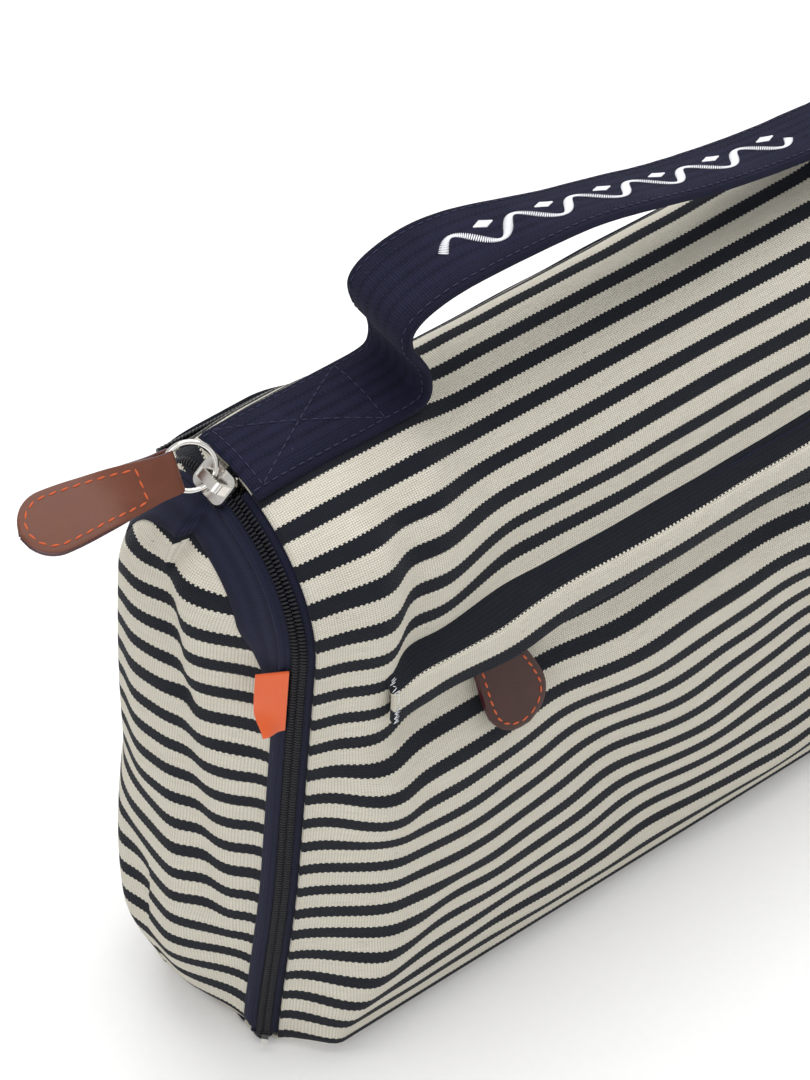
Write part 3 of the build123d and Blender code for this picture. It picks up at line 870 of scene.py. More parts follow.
    def back(self) -> None:
        """The back panel, from the zip behind the crown down to the base."""
        start, stop = self.form.on_top(self.back_start), 2 * self.form.on_top(90.0)
        folds = (Fold((-60, 470), (-20, 380), -2.4, 15), Fold((20, 480), (70, 400), 2.0, 16),
                 Fold((-110, 450), (-100, 370), 1.8, 12), Fold((90, 470), (110, 350), -2.0, 12))
        half = self.edge + 1.6 * MM
        cloth = draped("back_canvas", (120, 104), (2 * half, stop - start),
                       lambda u, v: self.panel_point((1 - 2 * u) * half, lerp(start, stop, 1 - v), 5.1,
                                                     folds))
        thicken(cloth, self.thick)
        fit(cloth, Canvas("back_stripe", 3.0).make(), "striped_canvas", "bag_body", "back_panel")
        2 * half
        stop - start

    def end(self, side: Side) -> None:
        """One soft end panel."""
        form = self.form
        folds = self.left_folds if side is Side.LEFT else self.right_folds
        low = 1.4 * MM
        flat_share = 0.78

        def place(u: float, v: float) -> Vector:
            """A point of the end panel, from its share across and up."""
            across = u if side is Side.RIGHT else 1 - u
            if v < flat_share:
                z, turn = lerp(low, form.crown, v / flat_share), 0.0
            else:
                z, turn = form.crown, (v - flat_share) / (1 - flat_share) * math.radians(88.5)
            front = -form.front_edge * math.cos(turn) + form.tuck_front * form.low_share(z)
            rear = form.back_edge * math.cos(turn) - form.tuck_back * form.low_share(z)
            y = lerp(front, rear, across)
            z += math.sin(turn) * lerp(form.front_edge, form.back_edge, across)
            slack = form.tuck_front if y < 0 else -form.tuck_back
            x = form.end_x(y - slack * form.low_share(z), z, folds, side)
            return Vector((side.value * x, y, z))

        name = f"{side.word}_end_canvas"
        cloth = draped(name, (64, 150), (1.0, 1.0), place)
        for loop, uv in zip(cloth.data.loops, cloth.data.uv_layers.active.data):
            point = cloth.data.vertices[loop.vertex_index].co
            uv.uv = (point.y, point.z)
        thicken(cloth, self.thick)
        fit(cloth, Canvas(f"{name}_stripe", self.end_stripe).make(), "striped_canvas", "bag_body",
            f"{side.word}_gusset")

    def bottom(self) -> None:
        """The bottom panel, flat on the ground with its edges turned up."""
        form = self.form

        def place(u: float, v: float) -> Vector:
            """A point of the bottom, pulled in at the corners."""
            x, side = (2 * u - 1) * (form.half - 4.5 * MM), 2 * v - 1
            front = form.radius - form.foot - form.tuck_front + 1.5 * MM
            rear = form.radius - form.foot - form.tuck_back + 1.5 * MM
            corner = max(0.0, abs(x) - (form.half - 20 * MM)) / (20 * MM)
            y = side * (front if side < 0 else rear) * (1 - 0.08 * corner ** 2)
            rise = 1.2 * MM * max(0.0, (abs(side) - 0.9) / 0.1) ** 2 + 1.4 * MM * corner ** 3
            return Vector((x, y, rise + 0.05 * MM))

        cloth = draped("bottom_canvas", (120, 32), (2 * form.half, 2 * form.radius), place)
        thicken(cloth, self.thick, inward=False)
        fit(cloth, Canvas("bottom_stripe", 1.0).make(), "striped_canvas", "bag_body", "bottom_panel")

    def build(self) -> None:
        """Make every panel."""
        self.front()
        self.back()
        for side in Side:
            self.end(side)
        self.bottom()


@dataclass
class Linings:
    """The padded inside: foam with its lining cloth on the door, the back, the ends and the base."""
    shell: CanvasShell
    pad: float = 3.6 * MM
    cloth: float = 0.6 * MM
    half: float = 134 * MM
    reach: float = 31 * MM            # half the width of an end's lining, and its radius at the top
    door_end: float = 138.0           # where the door's padding ends over the crown, in degrees
    back_start: float = 152.0         # where the back's padding starts

    def material(self) -> bpy.types.Material:
        """The plain lining cloth."""
        return Woven("lining_cotton", tint(206, 196, 172), tint(176, 166, 142)).make()

    def line(self, piece: bpy.types.Object, body: str, *nodes: str) -> None:
        """Finish a piece in the lining cloth."""
        fit(piece, self.material(), "lining_cloth", body, *nodes)

    def wall(self, name: str, start: float, stop: float, body: str, nodes: Sequence[str]) -> None:
        """A padded wall behind a canvas panel, following the section from start to stop."""
        form = self.shell.form

        def place(u: float, v: float) -> Vector:
            """A point of the quilted face."""
            x, s = (2 * u - 1) * self.half, lerp(start, stop, v)
            quilt = 0.35 * MM * math.sin(x / (30 * MM) * math.pi) * math.sin(s / (30 * MM) * math.pi)
            point, _ = form.section(s, form.radius - 1.9 * MM + quilt - form.sag(x, s))
            point.x = x
            return point

        pad = draped(name, (80, 96), (2 * self.half, abs(stop - start)), place)
        thicken(pad, self.pad)
        self.line(pad, body, *nodes)

    def end(self, side: Side) -> None:
        """The lining of one end panel."""
        form = self.shell.form

        def place(u: float, v: float) -> Vector:
            """A point of the end lining."""
            z = lerp(6 * MM, form.crown + self.reach, v)
            reach = math.sqrt(max(0.0, self.reach ** 2 - max(0.0, z - form.crown) ** 2))
            low = form.low_share(z)
            y = lerp(-reach + form.tuck_front * low, reach - form.tuck_back * low, u)
            waves = 0.5 * MM * noise.noise(Vector((y * 30, z * 20, side.value * 3.0)))
            return Vector((side.value * (form.half - 4.0 * MM + waves), y, z))

        cloth = draped(f"{side.word}_end_lining", (32, 80), (66 * MM, 227 * MM), place)
        thicken(cloth, self.cloth)
        self.line(cloth, "bag_body", f"{side.word}_gusset_lining")

    def base(self) -> None:
        """The lining over the base board, a little hollowed in the middle."""
        low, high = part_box("base_lining")

        def place(u: float, v: float) -> Vector:
            """A point of the base lining, just above the board."""
            x, y = lerp(low[0], high[0], u), lerp(low[1], high[1], v) * 0.78
            puff = 0.5 * MM * math.sin(u * math.pi) * math.sin(v * math.pi)
            return Vector((x, y, high[2] + puff + 0.2 * MM * noise.noise(Vector((x * 40, y * 40, 2)))))

        cloth = draped("base_lining_cloth", (80, 24), (high[0] - low[0], high[1] - low[1]), place)
        thicken(cloth, self.cloth)
        self.line(cloth, "bag_body", "base_lining")

    def board(self) -> None:
        """The stiff base board, with rounded edges, inside the tucked-in foot."""
        low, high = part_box("base_board")
        form = self.shell.form
        front, rear = low[1] + form.tuck_front + 3 * MM, high[1] - form.tuck_back - 3 * MM
        clear_selection()
        bpy.ops.mesh.primitive_cube_add(size=1.0, location=(0, (front + rear) / 2, (low[2] + high[2]) / 2))
        plate = bpy.context.object
        plate.name = "base_stiffener"
        plate.scale = (high[0] - low[0] - 8 * MM, rear - front, high[2] - low[2])
        bpy.ops.object.transform_apply(location=True, rotation=True, scale=True)
        apply_modifier(plate, "BEVEL", width=0.5 * MM, segments=3)
        fit(plate, Plain("base_board", tint(46, 46, 50), tint(60, 60, 64), 0.6, 0.8, 0.05).make(), "board",
            "bag_body", "base_board")

    def pocket(self) -> None:
        """The pocket's bag, which hangs behind the door's lining."""
        low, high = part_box("pocket_bag")

        def place(u: float, v: float) -> Vector:
            """A point of the pouch, hanging in slight waves."""
            x, z = lerp(low[0], high[0], u), lerp(low[2], high[2], v)
            hang = 0.8 * MM * math.sin(x / (26 * MM)) * (1 - v)
            return Vector((x * (1 - 0.03 * (1 - v) ** 2), low[1] + 1.2 * MM + hang, z))

        cloth = draped("pocket_pouch", (72, 36), (high[0] - low[0], high[2] - low[2]), place)
        thicken(cloth, 2.2 * MM)
        self.line(cloth, "front_flap", "pocket_bag")

    def build(self) -> None:
        """Make every lining, the pocket's bag and the base board."""
        form = self.shell.form
        foot = 2 * form.on_top(90) - form.up_front(8 * MM)
        self.wall("front_padding", form.up_front(6 * MM), form.on_top(self.door_end), "front_flap",
                  ("front_foam", "front_lining"))
        self.wall("back_padding", form.on_top(self.back_start), foot, "bag_body",
                  ("back_foam", "back_lining"))
        for side in Side:
            self.end(side)
        self.base()
        self.pocket()
        self.board()


def dress(node: str, material: bpy.types.Material) -> None:
    """Give a CAD node that stays on show its material."""
    obj = frame["nodes"][node]
    if obj.material_slots:
        for slot in obj.material_slots:
            slot.material = material
    else:
        obj.data.materials.append(material)


# ---- the main zip ----------------------------------------------------------------------------------
@dataclass
class MainZip:
    """The coil zip round the door: tapes, coils, bindings and end stops."""
    shell: CanvasShell
    pitch: float = 1.27 * MM
    gap: float = 0.1 * MM
    coil: float = 2.85 * MM          # how wide one row of the coil is
    split: float = 0.4 * MM          # from the zip's centre to the edge of each tape
    meet: float = 0.42 * MM          # how far each row reaches into the other
    low: float = 5 * MM              # where the zip starts, up the cloth
    half: float = 139 * MM           # half the run across the top
    seat: float = 0.85 * MM          # how deep the tape lies on the bevel
    tape_thick: float = 0.5 * MM
    left_stop: float = 79.6          # where the left door row meets the slider, in degrees from the front
    right_stop: float = 138.0        # where the right door row ends
    body_stop: float = 150.5         # where the rows on the body's side end
    top_span: tuple[float, float] = (137.5, 152.6)      # the outer edges of the two top tapes

    def off_centre(self, toward: int) -> float:
        """Where the middle of one row lies, from the zip's centre."""
        return toward * (self.coil / 2 - self.meet + self.gap)

    def tape(self, name: str, side: Side, across: tuple[float, float], span: tuple[float, float],
             wide: Callable[[float], float] | None = None) -> bpy.types.Object:
        """A strip of tape along an end seam.

        Args:
            name: The piece's name.
            side: Which end.
            across: Its two edges, from the zip's centre towards the end panel.
            span: Where it starts and stops, up the cloth.
            wide: Where set, gives the far edge for each place up the cloth.
        """
        form = self.shell.form

        def place(u: float, v: float) -> Vector:
            """A point of the tape."""
            s = lerp(span[0], span[1], v)
            far = wide(s) if wide else across[1]
            a = lerp(across[0], far, u)
            point = form.seam(side, s, a, -self.seat - 0.62 * max(0.0, -a - 3 * MM))
            r = form.radius - form.bevel / 2 + (-self.seat - a) * HALF_ROOT
            if r < form.front_edge:   # past the bevel the tape follows the end's cloth
                plain, _ = form.section(s, r)
                untucked = plain.y - form.tuck_front * form.low_share(plain.z)
                folds = self.shell.left_folds if side is Side.LEFT else self.shell.right_folds
                x = form.end_x(untucked, plain.z, folds, side)
                point = Vector((side.value * (x + 0.5 * MM), plain.y, plain.z))
            return point

        strip = draped(name, (6, max(8, int((span[1] - span[0]) / (2.2 * MM)))),
                       (abs(across[1] - across[0]), span[1] - span[0]), place)
        outward = side.value * (1 if across[1] > across[0] else -1)
        if outward < 0:
            edit_all(strip, lambda: bpy.ops.mesh.flip_normals())
        thicken(strip, self.tape_thick)
        return strip

    def teeth(self, name: str, places: Sequence[Matrix]) -> bpy.types.Object:
        """One row of coil elements at the given places."""
        model = bead(8, 5, (0.98 * MM, self.coil, 1.55 * MM))
        row = repeat(name, model, places)
        nylon = Plain("coil_nylon", tint(16, 16, 19), tint(30, 30, 36), 0.38, 0.5, 0.02)
        fit(row, nylon.make(), "black_coil", "")
        return row

    def seam_row(self, side: Side, toward: int, span: tuple[float, float]) -> list[Matrix]:
        """Places for one row of coil up an end seam.

        Args:
            side: Which end.
            toward: 1 for the row on the end panel's side, -1 for the row on the door's side.
            span: Where it starts and stops, up the cloth.
        """
        form, places = self.shell.form, []
        s = span[0] + (self.pitch / 2 if toward > 0 else 0.0)
        while s < span[1]:
            on_curve = s > form.shoulder
            places.append(form.seam_axes(side, s, self.off_centre(toward), 0.1 * MM))
            s += self.pitch * (form.radius / (form.radius - form.bevel / 2) if on_curve else 1.0)
        return places

    def top_row(self, toward: int) -> list[Matrix]:
        """Places for one row of coil across the top; toward is 1 for the row on the back panel."""
        form, places = self.shell.form, []
        s = form.on_top(form.zip_angle) + self.off_centre(toward)
        x = -self.half + (self.pitch / 2 if toward > 0 else 0.0)
        while x < self.half:
            point, normal = form.section(s, form.radius + 0.2 * MM - form.sag(x, s))
            here = Vector((x, point.y, point.z))
            places.append(axes(here, Vector((1, 0, 0)), normal))
            x += self.pitch
        return places

    def top_tape(self, name: str, span: tuple[float, float]) -> bpy.types.Object:
        """A strip of tape across the top."""
        form = self.shell.form

        def place(u: float, v: float) -> Vector:
            """A point of the tape."""
            x, s = lerp(-self.half, self.half, u), lerp(span[0], span[1], v)
            point, _ = form.section(s, form.radius - 0.75 * MM - form.sag(x, s))
            point.x = x
            return point

        strip = draped(name, (70, 6), (2 * self.half, span[1] - span[0]), place)
        thicken(strip, self.tape_thick)
        return strip

    def build(self) -> None:
        """Make every strip, row and stop."""
        form, tape = self.shell.form, Ribbed("navy_zip_tape").make()
        flap_tape, flap_coil, body_tape, body_coil = [], [], [], []
        body_span = (self.low, form.on_top(self.body_stop))
        for side in Side:
            stop = self.left_stop if side is Side.LEFT else self.right_stop
            span, word = (self.low, form.on_top(stop)), side.word
            flap_tape.append(self.tape(f"{word}_door_tape", side, (-self.split, -6.6 * MM), span))
            body_tape.append(self.tape(f"{word}_body_tape", side, (self.split, 6.4 * MM), body_span))
            flap_coil.append(self.teeth(f"{word}_door_coil", self.seam_row(side, -1, span)))
            body_coil.append(self.teeth(f"{word}_body_coil", self.seam_row(side, 1, body_span)))
        centre = form.on_top(form.zip_angle)
        front, rear = (form.on_top(angle) for angle in self.top_span)
        flap_tape.append(self.top_tape("top_door_tape", (front, centre - self.split)))
        body_tape.append(self.top_tape("top_body_tape", (centre + self.split, rear)))
        flap_coil.append(self.teeth("top_door_coil", self.top_row(-1)))
        body_coil.append(self.teeth("top_body_coil", self.top_row(1)))
        for piece in flap_tape + body_tape:
            fit(piece, tape, "navy_tape", "")
        for group, body, node in ((flap_tape, "front_flap", "flap_zip_tape"),
                                  (flap_coil, "front_flap", "flap_zip_coil"),
                                  (body_tape, "bag_body", "body_zip_tape"),
                                  (body_coil, "bag_body", "body_zip_coil")):
            for piece in group:
                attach(piece, body)
            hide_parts(node)
        for side in Side:
            self.binding(side, tape)
        dress("zip_end_stops", Plated("stop_metal", rough=0.3).make())

    def binding(self, side: Side, tape: bpy.types.Material) -> None:
        """The navy binding on the end panel's side of the zip, which widens to a facing at the top."""
        form = self.shell.form
        narrow, broad = 5.0 * MM, (20 * MM if side is Side.LEFT else 14 * MM)

        def wide(s: float) -> float:
            """The far edge of the binding at a place up the cloth."""
            return lerp(narrow, broad, smooth((s - form.up_front(172 * MM)) / (46 * MM)))

        name = f"{side.word}_end_binding"
        facing = self.tape(name, side, (2.4 * MM, narrow), (4 * MM, form.on_top(150.0)), wide)
        over = self.tape(f"{name}_fold", side, (2.2 * MM, 4.2 * MM), (5 * MM, form.on_top(149.0)))
        for vertex in over.data.vertices:
            vertex.co = vertex.co + self.outward(side, vertex.co) * 0.55 * MM
        fit(facing, tape, "navy_tape", "bag_body", f"{side.word}_gusset_binding")
        fit(over, tape, "navy_tape", "bag_body")

    def outward(self, side: Side, point: Vector) -> Vector:
        """The direction straight out of the bevel at a point on it."""
        above = point.z - self.shell.form.crown
        flat = Vector((0, point.y, above)) if above > 0 else Vector((0, -1, 0))
        return (Vector((side.value, 0, 0)) + flat.normalized()).normalized()


# ---- leather pulls ---------------------------------------------------------------------------------
@dataclass
class LeatherPull:
    """A folded leather tab: one strip round a ring, stitched to itself, with a rounded end."""
    name: str
    origin: Vector                    # the middle of the bar that it folds round
    along: Vector
    face: Vector                      # the way its upper face looks
    length: float
    root: float
    end: float
    leather: Leather
    body: str
    nodes: tuple[str, str]
    strip: float = 1.25 * MM
    fold: float = 1.5 * MM
    curl: float = 0.0
    twist: float = 0.0
    box_at: float = 8.0 * MM
    slot: str = "brown_leather"

    def width(self, t: float) -> float:
        """Half the tab's width at a distance from the fold."""
        bend = self.length - self.end / 2
        if t <= bend:
            return lerp(self.root, self.end, smooth(max(0.0, t) / bend)) / 2
        return math.sqrt(max(0.0, (self.end / 2) ** 2 - (t - bend) ** 2))

    def spot(self, t: float, y: float, n: float) -> Vector:
        """A place on the tab: t from the bar, y across, n above its middle plane."""
        side = self.face.cross(self.along)
        droop = self.curl * (max(0.0, t) / self.length) ** 2
        turn = math.radians(self.twist) * smooth(t / (0.55 * self.length))
        y, n = y * math.cos(turn) - n * math.sin(turn), y * math.sin(turn) + n * math.cos(turn)
        return self.origin + self.along * t + side * y + self.face * (n + droop)

    def build(self) -> None:
        """Make the folded strip and its stitches."""
        turn = self.fold * math.pi / 2

        def place(u: float, v: float) -> Vector:
            """A point of the strip, from the upper end round the fold to the lower end."""
            walk = (2 * u - 1) * (self.length + turn)
            above = 1.0 if walk < 0 else -1.0
            t = abs(walk) - turn
            if t < 0:
                angle = walk / self.fold
                t, n = -self.fold * math.cos(angle), -self.fold * math.sin(angle)
            else:
                t = min(t, self.length - 0.004 * MM)
                n = above * lerp(self.fold, self.strip / 2 + 0.04 * MM, smooth(t / (7 * MM)))
            half = self.width(t)
            crown = 0.25 * MM * (1 - (2 * v - 1) ** 2) * above * smooth(t / (6 * MM))
            return self.spot(t, (2 * v - 1) * half, n + crown)

        tab = draped(f"{self.name}_strip", (110, 20), (2 * self.length, self.end), place)
        tab.data.materials.append(self.leather.make())
        tab.data.materials.append(Plain(f"{self.name}_edge_paint", tint(74, 24, 34), tint(48, 14, 24), 0.35,
                                        0.7, 0.03).make())
        apply_modifier(tab, "SOLIDIFY", thickness=self.strip, offset=0.0, use_rim=True,
                       material_offset_rim=1)
        face_outwards(tab)
        round_edges(tab, 0.22 * MM)
        shade_by_angle(tab, 50)
        stitch = bead(8, 6, (2.5 * MM, 0.68 * MM, 0.6 * MM))
        thread = repeat(f"{self.name}_stitches", stitch, self.stitches())
        saddle = Plain("saddle_thread", tint(206, 98, 56), tint(164, 70, 38), 0.7, 0.25, 0.05, 0.06)
        fit(thread, saddle.make(), "orange_thread", self.body, self.nodes[1])
        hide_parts(self.nodes[0])
        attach(tab, self.body)

    def stitches(self) -> list[Matrix]:
        """Places for the saddle stitches on both faces."""
        inset, pitch = 2.1 * MM, 3.5 * MM
        bend = self.length - self.end / 2
        outline = [(t, self.width(t) - inset) for t in (lerp(self.box_at, bend, i / 12) for i in range(13))]
        radius = self.end / 2 - inset
        arc = [(bend + radius * math.sin(a), radius * math.cos(a))
               for a in (math.pi * i / 24 for i in range(1, 24))]
        loop = [*outline, *arc, *[(t, -y) for t, y in reversed(outline)], outline[0]]
        route = Route([Vector((t, y, 0)) for t, y in loop])
        count = round(route.length / pitch)
        places = []
        for above in (1, -1):
            for i in range(count):
                d = (i + 0.5) * route.length / count
                here, ahead = route.at(d), route.heading(d, 0.6 * MM)
                slant = Matrix.Rotation(math.radians(7), 3, "Z") @ ahead
                n = above * (self.strip + 0.22 * MM)
                centre = self.spot(here.x, here.y, n)
                tip = self.spot(here.x + slant.x * MM, here.y + slant.y * MM, n)
                places.append(axes(centre, tip - centre, self.face * above))
        return places


@dataclass
class MainPull:
    """The main slider, its ring and its leather tab."""
    metal: Plated = Plated("slider_nickel")
    droop: float = -16.0              # how much lower than level the tab lies, in degrees

    def build(self) -> None:
        """Dress the slider and the ring and make the tab."""
        nickel = self.metal.make()
        for node in ("main_slider_body", "main_slider_bridge", "main_ring", "pocket_slider_body",
                     "pocket_ring"):
            dress(node, nickel)
        dress("pocket_zip_stops", Plated("stop_plate", rough=0.28).make())
        joint = next(j for j in frame["joints"] if j["name"] == "main_tab_swing")
        bar = Vector(joint["pos_m"])
        points = [v.co for v in frame["nodes"]["main_tab_leather"].data.vertices]
        centre = sum(points, Vector()) / len(points)
        axis = Vector(joint["axis"]).normalized()
        along = centre - bar
        along = (along - axis * along.dot(axis)).normalized()
        along = (Matrix.Rotation(math.radians(self.droop), 3, axis) @ along).normalized()
        face = along.cross(axis)
        if face.y > 0:
            face = -face
        LeatherPull("main_tab", bar, along, face, 45.4 * MM, 12.6 * MM, 19 * MM,
                    Leather("brown_saddle_leather", tint(94, 50, 33), tint(106, 60, 42)), "main_tab",
                    ("main_tab_leather", "main_tab_stitching"), curl=-1.2 * MM, twist=44.0,
                    box_at=9.5 * MM).build()


# ---- front pocket ----------------------------------------------------------------------------------
@dataclass
class FrontPocket:
    """The pocket's welt, its hidden zip, its bartacks and its leather pull."""
    shell: CanvasShell
    top: float = 191.5 * MM
    low: float = 172.5 * MM
    half: float = 121 * MM
    slider_x: float = -80 * MM        # where the hidden slider lifts the welt

    def welt_point(self, u: float, v: float) -> Vector:
        """A point of the welt: it starts in the seam, stands proud and hangs free at its lower edge."""
        x = (2 * u - 1) * self.half
        z = lerp(self.low, self.top, v)
        proud = 5.6 * MM * smooth((1 - v) / 0.40) * (0.4 + 0.6 * smooth((self.half - abs(x)) / (16 * MM)))
        wave = 0.9 * MM * noise.noise(Vector((x * 26, 0.5, 9.1))) * (1 - v)
        proud += 1.7 * MM * math.exp(-((x - self.slider_x) / (15 * MM)) ** 2) * smooth((1 - v) / 0.25)
        seat = lerp(1.5 * MM, -0.5 * MM, smooth((v - 0.62) / 0.38))
        shape = self.shell.panel_point(x, self.shell.form.up_front(z), extra=seat + proud + wave)
        shape.z += 0.8 * MM * noise.noise(Vector((x * 14, 3.0, 2.0))) * (1 - v)
        return shape

    def welt(self) -> None:
        """The striped welt, two layers thick."""
        width = 2 * self.half
        cloth = draped("pocket_welt", (130, 14), (width, self.top - self.low), self.welt_point)
        thicken(cloth, 2.1 * MM)
        round_edges(cloth, 0.5 * MM)
        shade_by_angle(cloth, 50)
        fit(cloth, Canvas("welt_stripe", 0.2, 13.4).make(), "striped_canvas", "front_flap", "pocket_flap")
        self.top - self.low + 4 * MM

    def bartacks(self) -> None:
        """White bartacks at the two ends of the welt, with a few loose thread ends."""
        places = []
        for end in (0.004, 0.996):
            for i in [*range(0, 9), *range(17, 23)]:
                v = lerp(0.04, 0.97, i / 25)
                jitter = 0.004 * noise.noise(Vector((i * 0.7, end * 9, 1)))
                here = self.welt_point(end + jitter, v) + Vector((0, -0.15 * MM, 0))
                lean = 1.1 * math.sin(i * 2.1)
                places.append(axes(here, Vector((1, 0, lean)), Vector((0, -1, 0))))
            for i, angle in enumerate((2.2, 3.6, 4.4, 1.1)):
                here = self.welt_point(end, 0.1 + 0.25 * i) + Vector((0, -0.5 * MM, 0))
                loose = Vector((math.cos(angle), -0.25, math.sin(angle)))
                places.append(axes(here, loose, Vector((0, -1, 0)))
                              @ Matrix.Scale(1.7, 4, (1, 0, 0)) @ Matrix.Scale(0.5, 4, (0, 1, 0)))
        threads = repeat("pocket_tacks", bead(6, 5, (2.1 * MM, 0.32 * MM, 0.3 * MM)), places)
        white = Plain("tack_thread", tint(222, 224, 226), tint(186, 190, 196), 0.7, 0.2, 0.04, 0.06)
        fit(threads, white.make(), "white_thread", "front_flap", "pocket_bartacks")

    def zip(self) -> None:
        """The hidden zip: tapes and two rows of coil."""
        low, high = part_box("pocket_zip_tape")
        coil_low, coil_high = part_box("pocket_zip_coil")
        depth, middle = (coil_low[1] + coil_high[1]) / 2, (coil_low[2] + coil_high[2]) / 2

        def place(u: float, v: float) -> Vector:
            """A point of the tape."""
            puff = 0.12 * MM * math.sin(u * 140)
            return Vector((lerp(low[0], high[0], u), low[1] + 0.1 * MM + puff, lerp(low[2], high[2], v)))

        strip = draped("pocket_tape_pair", (120, 10), (high[0] - low[0], high[2] - low[2]), place)
        thicken(strip, 0.4 * MM)
        fit(strip, Ribbed("pocket_tape").make(), "navy_tape", "front_flap", "pocket_zip_tape")
        places = []
        pitch, width = 1.2 * MM, 2.2 * MM
        for toward in (-1, 1):
            x = coil_low[0] + (pitch / 2 if toward > 0 else 0)
            while x < coil_high[0]:
                here = Vector((x, depth, middle + toward * (width / 2 - 0.25 * MM)))
                places.append(axes(here, Vector((1, 0, 0)), Vector((0, -1, 0))))
                x += pitch
        coil = repeat("pocket_coil_rows", bead(6, 5, (0.92 * MM, width, 1.3 * MM)), places)
        nylon = Plain("pocket_nylon", tint(18, 18, 22), tint(30, 30, 36), 0.4, 0.5, 0.02)
        fit(coil, nylon.make(), "black_coil", "front_flap", "pocket_zip_coil")

    def pull(self) -> None:
        """The dark leather tab that hangs from under the welt, swung a little to the right."""
        joint = next(j for j in frame["joints"] if j["name"] == "pocket_pull_swing")
        pin = Vector(joint["pos_m"])
        ring_low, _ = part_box("pocket_ring")
        hang = Vector((0.24, -0.40, -0.88)).normalized()
        origin = pin + Vector((0, 0, ring_low[2] - pin.z + 0.5 * MM))
        face = Vector((0.0, -1, 0.45))
        face = (face - hang * face.dot(hang)).normalized()
        LeatherPull("pocket_tab", origin, hang, face, 35 * MM, 16 * MM, 21.5 * MM,
                    Leather("dark_bridle_leather", tint(50, 17, 6), tint(62, 23, 9), 0.3), "pocket_pull",
                    ("pocket_tab_leather", "pocket_tab_stitching"), strip=0.95 * MM, fold=1.0 * MM,
                    curl=-1.0 * MM, box_at=5.5 * MM, slot="dark_leather").build()

    def build(self) -> None:
        """Make every piece of the pocket."""
        self.welt()
        self.bartacks()
        self.zip()
        self.pull()


